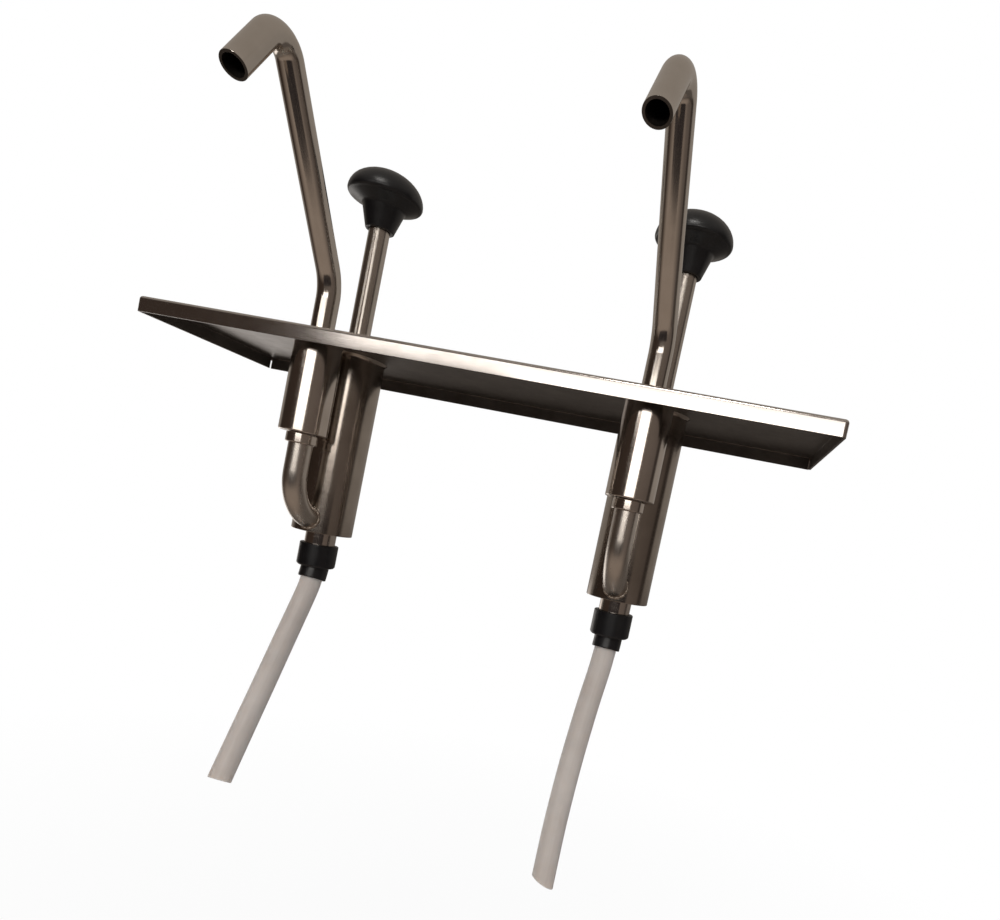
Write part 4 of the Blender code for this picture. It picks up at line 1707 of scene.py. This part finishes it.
@dataclass
class InnerWorks:
    """The pieces inside a pump: the valves' balls, the ring seals, and the rest in their CAD shape."""

    side: Side
    steps: int = 24
    squeeze: float = 0.94
    finishes: dict[str, Finish] = field(
        default_factory=lambda: {
            "inlet_ball_cage": PLAIN_STEEL,
            "piston": WHITE_ACETAL,
            "piston_nut": PLAIN_STEEL,
            "discharge_seat": WHITE_ACETAL,
            "suction_washer": BLACK_RUBBER,
        }
    )

    def build(self, nodes: dict[str, Object]) -> None:
        """Builds the balls and the seals and gives the other inner nodes their finish.

        Args:
            nodes: The frame's nodes by name.
        """
        plunger = self.side.of("plunger")
        for valve in ("inlet", "discharge"):
            self.build_ball(valve)
        for seal in (
            Seal("piston_seal_upper", plunger, 2.6),
            Seal("piston_seal_lower", plunger, 2.6),
            Seal("rod_seal", "lid", 2.4),
            Seal("spout_seal", "lid", 2.4),
        ):
            self.build_seal(seal)
        for kind, finish in self.finishes.items():
            node = nodes[self.side.of(kind)]
            for index in range(len(node.data.materials)):
                node.data.materials[index] = finish.material()
            LOG.info("%s keeps its solid, in %s", node.name, finish.name)

    def build_ball(self, valve: str) -> None:
        """Turns a valve's ball.

        Args:
            valve: Which valve, inlet or discharge.
        """
        node = self.side.of(f"{valve}_check_ball")
        bottom, top = heights_of(node)
        radius, middle = (top - bottom) / 2, (top + bottom) / 2
        turns = [math.pi * step / self.steps for step in range(self.steps + 1)]
        outline = [Corner(radius * math.sin(turn), middle + radius * math.cos(turn)) for turn in turns]
        ball = turned(self.side.of(f"polished_{valve}_ball"), outline, axis_of(node), closed=False)
        dress(ball, self.side.of(f"{valve}_ball"), [node], PLAIN_STEEL)

    def build_seal(self, seal: Seal) -> None:
        """Turns a ring seal of round section.

        Args:
            seal: Which seal.
        """
        node = self.side.of(seal.node)
        bottom, top = heights_of(node)
        middle = radius_of(node) - seal.section / 2
        half = seal.section / 2 * self.squeeze
        turns = [math.tau * step / self.steps for step in range(self.steps)]
        height = (top + bottom) / 2
        outline = [Corner(middle + half * math.cos(turn), height + half * math.sin(turn)) for turn in turns]
        ring = turned(self.side.of(f"round_{seal.node}"), outline, axis_of(node))
        dress(ring, seal.body, [node], BLACK_RUBBER)


@dataclass
class Studio:
    """The camera, the lamps, the floor and what the metal mirrors."""

    camera_place: tuple[float, float, float] = (0.130545, -0.361162, -0.069368)
    yaw: float = 9.156
    pitch: float = -3.012
    roll: float = 12.065
    focal: float = 688.67
    middle: tuple[float, float] = (592.624, 571.575)
    frame_size: tuple[float, float] = (1000.0, 920.0)
    sensor: float = 36.0
    floor_height: float = -0.45
    floor_size: float = 6.0
    room_radius: float = 4.5
    shade_low: tuple[float, float, float] = (-0.28, -0.53, -0.36)
    shade_high: tuple[float, float, float] = (0.52, -0.49, -0.10)
    shade_edge: float = 15.0

    def build(self) -> None:
        """Sets up everything round the object."""
        scene = bpy.context.scene
        scene.view_settings.view_transform = "Standard"
        self.build_camera()
        self.build_world()
        self.build_floor()
        self.build_room()
        self.build_shade()
        self.build_lamps()

    def build_camera(self) -> None:
        """Sets the camera where the photograph was taken from."""
        yaw, pitch, roll = (math.radians(angle) for angle in (self.yaw, self.pitch, self.roll))
        ahead = Vector((-math.sin(yaw) * math.cos(pitch), math.cos(yaw) * math.cos(pitch), math.sin(pitch)))
        level = Vector((math.cos(yaw), math.sin(yaw), 0.0))
        above = level.cross(ahead)
        right = level * math.cos(roll) + above * math.sin(roll)
        up = above * math.cos(roll) - level * math.sin(roll)
        width, height = self.frame_size
        data = bpy.data.cameras.new("photo_camera")
        data.sensor_width = self.sensor
        data.lens = self.sensor * self.focal / width
        data.shift_x = (width / 2 - self.middle[0]) / width
        data.shift_y = (self.middle[1] - height / 2) / width
        data.clip_start = 0.01
        camera = bpy.data.objects.new("photo_camera", data)
        turn = Matrix((right, up, -ahead)).transposed().to_4x4()
        camera.matrix_world = Matrix.Translation(self.camera_place) @ turn
        bpy.context.scene.collection.objects.link(camera)
        bpy.context.scene.camera = camera

    def build_world(self) -> None:
        """A white backdrop for what is seen, and a plain grey light for the rest."""
        world = bpy.data.worlds.new("studio_world")
        bpy.context.scene.world = world
        world.use_nodes = True
        tree = world.node_tree
        tree.nodes.clear()
        output = tree.nodes.new("ShaderNodeOutputWorld")
        mix = tree.nodes.new("ShaderNodeMixShader")
        light = tree.nodes.new("ShaderNodeBackground")
        light.inputs["Color"].default_value = (0.95, 0.97, 1.0, 1.0)
        light.inputs["Strength"].default_value = 0.42
        white = tree.nodes.new("ShaderNodeBackground")
        white.inputs["Color"].default_value = (1.0, 1.0, 1.0, 1.0)
        white.inputs["Strength"].default_value = 1.0
        path = tree.nodes.new("ShaderNodeLightPath")
        seen = path.outputs["Is Camera Ray"]
        for ray in ("Is Glossy Ray", "Is Transmission Ray"):
            either = tree.nodes.new("ShaderNodeMath")
            either.operation = "MAXIMUM"
            tree.links.new(seen, either.inputs[0])
            tree.links.new(path.outputs[ray], either.inputs[1])
            seen = either.outputs["Value"]
        tree.links.new(seen, mix.inputs["Fac"])
        tree.links.new(light.outputs["Background"], mix.inputs[1])
        tree.links.new(white.outputs["Background"], mix.inputs[2])
        tree.links.new(mix.outputs["Shader"], output.inputs["Surface"])

    def build_floor(self) -> None:
        """A plain pale floor, white where it is far off, that keeps the object's soft shadow."""
        deselect()
        bpy.ops.mesh.primitive_plane_add(size=self.floor_size, location=(0.0, 0.0, self.floor_height))
        floor = bpy.context.object
        floor.name = "studio_floor"
        board = NodeBoard("pale_floor")
        board.tree.nodes.remove(board.shader)
        paint = board.add("ShaderNodeBsdfDiffuse")
        paint.inputs["Color"].default_value = (0.85, 0.85, 0.85, 1.0)
        glow = board.add("ShaderNodeEmission")
        glow.inputs["Color"].default_value = (1.0, 1.0, 1.0, 1.0)
        mix = board.add("ShaderNodeMixShader")
        path = board.add("ShaderNodeLightPath")
        seen = board.combine("MAXIMUM", path.outputs["Is Camera Ray"], path.outputs["Is Transmission Ray"])
        distance = board.add("ShaderNodeVectorMath", operation="LENGTH")
        board.join(board.place, distance.inputs[0])
        share = board.spread(distance.outputs["Value"], 0.92, 1.0, 0.2, 0.8)
        board.join(board.combine("MULTIPLY", seen, share), mix.inputs["Fac"])
        board.join(paint.outputs["BSDF"], mix.inputs[1])
        board.join(glow.outputs["Emission"], mix.inputs[2])
        board.join(mix.outputs["Shader"], board.output.inputs["Surface"])
        floor.data.materials.append(board.material)
        floor.visible_glossy = False

    def build_room(self) -> None:
        """The brown room that the steel mirrors: dark on the left, lighter on the right, above and below."""
        deselect()
        bpy.ops.mesh.primitive_uv_sphere_add(segments=48, ring_count=24, radius=self.room_radius)
        room = bpy.context.object
        room.name = "studio_room"
        board = NodeBoard("room_walls")
        parts = board.add("ShaderNodeSeparateXYZ")
        normal = board.add("ShaderNodeVectorMath", operation="NORMALIZE")
        board.join(board.place, normal.inputs[0])
        board.join(normal.outputs["Vector"], parts.inputs["Vector"])
        front = board.combine("MULTIPLY", parts.outputs["Y"], -1.0)
        bearing = board.combine("ARCTAN2", parts.outputs["X"], front)
        walls = board.ramp(
            board.spread(bearing, 0.0, 1.0, -math.pi, math.pi),
            (
                (0.00, (0.32, 0.29, 0.26)),
                (0.21, (0.32, 0.29, 0.26)),
                (0.25, (0.045, 0.033, 0.026)),
                (0.43, (0.05, 0.034, 0.026)),
                (0.46, (0.12, 0.10, 0.085)),
                (0.62, (0.17, 0.14, 0.12)),
                (0.735, (0.14, 0.115, 0.10)),
                (0.755, (0.05, 0.04, 0.034)),
                (0.785, (0.05, 0.04, 0.034)),
                (0.81, (0.34, 0.31, 0.28)),
                (1.00, (0.32, 0.29, 0.26)),
            ),
        )
        rise = board.combine("ARCSINE", parts.outputs["Z"], 0.0)
        low = board.spread(rise, 1.0, 0.0, math.radians(-36.0), math.radians(-16.0))
        ahead = board.spread(front, 0.0, 1.0, -0.25, 0.35)
        below = board.tint(board.combine("MULTIPLY", low, ahead), walls, (0.33, 0.27, 0.225))
        sunk = board.spread(rise, 1.0, 0.0, math.radians(-8.0), math.radians(-3.0))
        behind = board.spread(front, 1.0, 0.0, -0.3, 0.0)
        below = board.tint(board.combine("MULTIPLY", sunk, behind), below, (0.130, 0.113, 0.100))
        patch = board.spread(bearing, 0.0, 1.0, -2.60, -2.50)
        for limit in (
            board.spread(bearing, 1.0, 0.0, -2.1, -1.9),
            board.spread(rise, 1.0, 0.0, -0.14, -0.08),
            board.spread(rise, 0.0, 1.0, -0.55, -0.45),
        ):
            patch = board.combine("MULTIPLY", patch, limit)
        corner = board.tint(patch, below, (1.6, 1.52, 1.45))
        high = board.spread(rise, 0.0, 1.0, math.radians(20.0), math.radians(44.0))
        board.glow(board.tint(high, corner, (0.36, 0.325, 0.29)))
        room.data.materials.append(board.material)
        self.hide_from_view(room)

    def build_shade(self) -> None:
        """The dark shape behind the camera that the leaning tubes mirror."""
        shade = block("studio_shade", Vector(self.shade_low), Vector(self.shade_high))
        soften(shade, self.shade_edge, 4)
        board = NodeBoard("dark_shade")
        folds = board.noise(6.0, 3.0)
        board.glow(board.ramp(folds, ((0.3, (0.022, 0.018, 0.018)), (0.7, (0.05, 0.042, 0.04)))))
        shade.data.materials.append(board.material)
        self.hide_from_view(shade)

    def hide_from_view(self, prop: Object) -> None:
        """Leaves a prop of the stage to the mirror images alone.

        Args:
            prop: The room or the shade.
        """
        prop.visible_camera = False
        prop.visible_diffuse = False
        prop.visible_transmission = False
        prop.visible_shadow = False

    def build_lamps(self) -> None:
        """A wide softbox and two strips in front, and a soft lamp overhead."""
        level = Vector((0.0, 1.0, 0.0))
        self.add_lamp("front_softbox", (0.189, -2.5, 0.33), (1.954, 0.53), 11.4, level)
        self.add_lamp("left_strip", (-1.205, -2.5, 0.59), (0.83, 0.18), 1.5, level)
        self.add_lamp("high_strip", (0.0, -1.2, 1.0), (0.45, 0.26), 5.0, Vector((0.0, 0.76, -0.65)))
        down = Vector((0.15, 0.2, -1.0))
        overhead = self.add_lamp("overhead_softbox", (-0.4, -0.5, 2.2), (1.6, 1.6), 10.0, down)
        overhead.visible_glossy = False

    def add_lamp(
        self, name: str, place: Sequence[float], size: tuple[float, float], power: float, aim: Vector
    ) -> Object:
        """Adds a rectangular softbox.

        Args:
            name: The lamp's name.
            place: Its middle.
            size: Its width and height.
            power: Its power in watts.
            aim: The direction in which it shines.

        Returns:
            The lamp.
        """
        data = bpy.data.lights.new(name, "AREA")
        data.shape = "RECTANGLE"
        data.size, data.size_y = size
        data.energy = power
        data.color = (1.0, 0.97, 0.93)
        lamp = bpy.data.objects.new(name, data)
        lamp.matrix_world = Matrix.Translation(place) @ aim.to_track_quat("-Z", "Y").to_matrix().to_4x4()
        bpy.context.scene.collection.objects.link(lamp)
        return lamp


SPOUT_YAW = {Side.LEFT: 2.7, Side.RIGHT: 5.9}
TUBE_KNOTS = {
    Side.LEFT: (
        (0.0, 0.0, 0.0),
        (0.0, -0.2, -5.2),
        (0.0, -1.0, -10.1),
        (0.0, -2.2, -15.0),
        (0.0, -4.9, -22.1),
        (-0.1, -16.2, -46.0),
        (-0.1, -27.5, -69.8),
        (-0.2, -38.8, -93.6),
        (-0.2, -50.1, -117.3),
    ),
    Side.RIGHT: (
        (0.0, 0.0, 0.0),
        (0.0, -0.2, -5.2),
        (-0.1, -0.8, -10.4),
        (-0.3, -1.9, -16.3),
        (-0.8, -4.1, -25.8),
        (-2.1, -8.8, -42.8),
        (-3.5, -16.0, -71.8),
        (-3.8, -23.4, -102.3),
        (-3.0, -30.4, -132.5),
    ),
}
TUBE_SLANT = {Side.LEFT: 0.0, Side.RIGHT: 22.0}


def main() -> None:
    """Loads the frame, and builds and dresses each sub-assembly."""
    logging.basicConfig(level=logging.INFO, format="%(name)s: %(message)s")
    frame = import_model()
    Studio().build()
    for side in Side:
        SuctionEnd(side, TUBE_KNOTS[side], TUBE_SLANT[side]).build()
    Lid().build()
    for side in Side:
        PumpBody(side).build()
        Plunger(side).build()
        Elbow(side).build()
        Outlet(side, SPOUT_YAW[side]).build()
        Springs(side).build()
        InnerWorks(side).build(frame["nodes"])
    deselect()


if __name__ == "__main__":
    main()
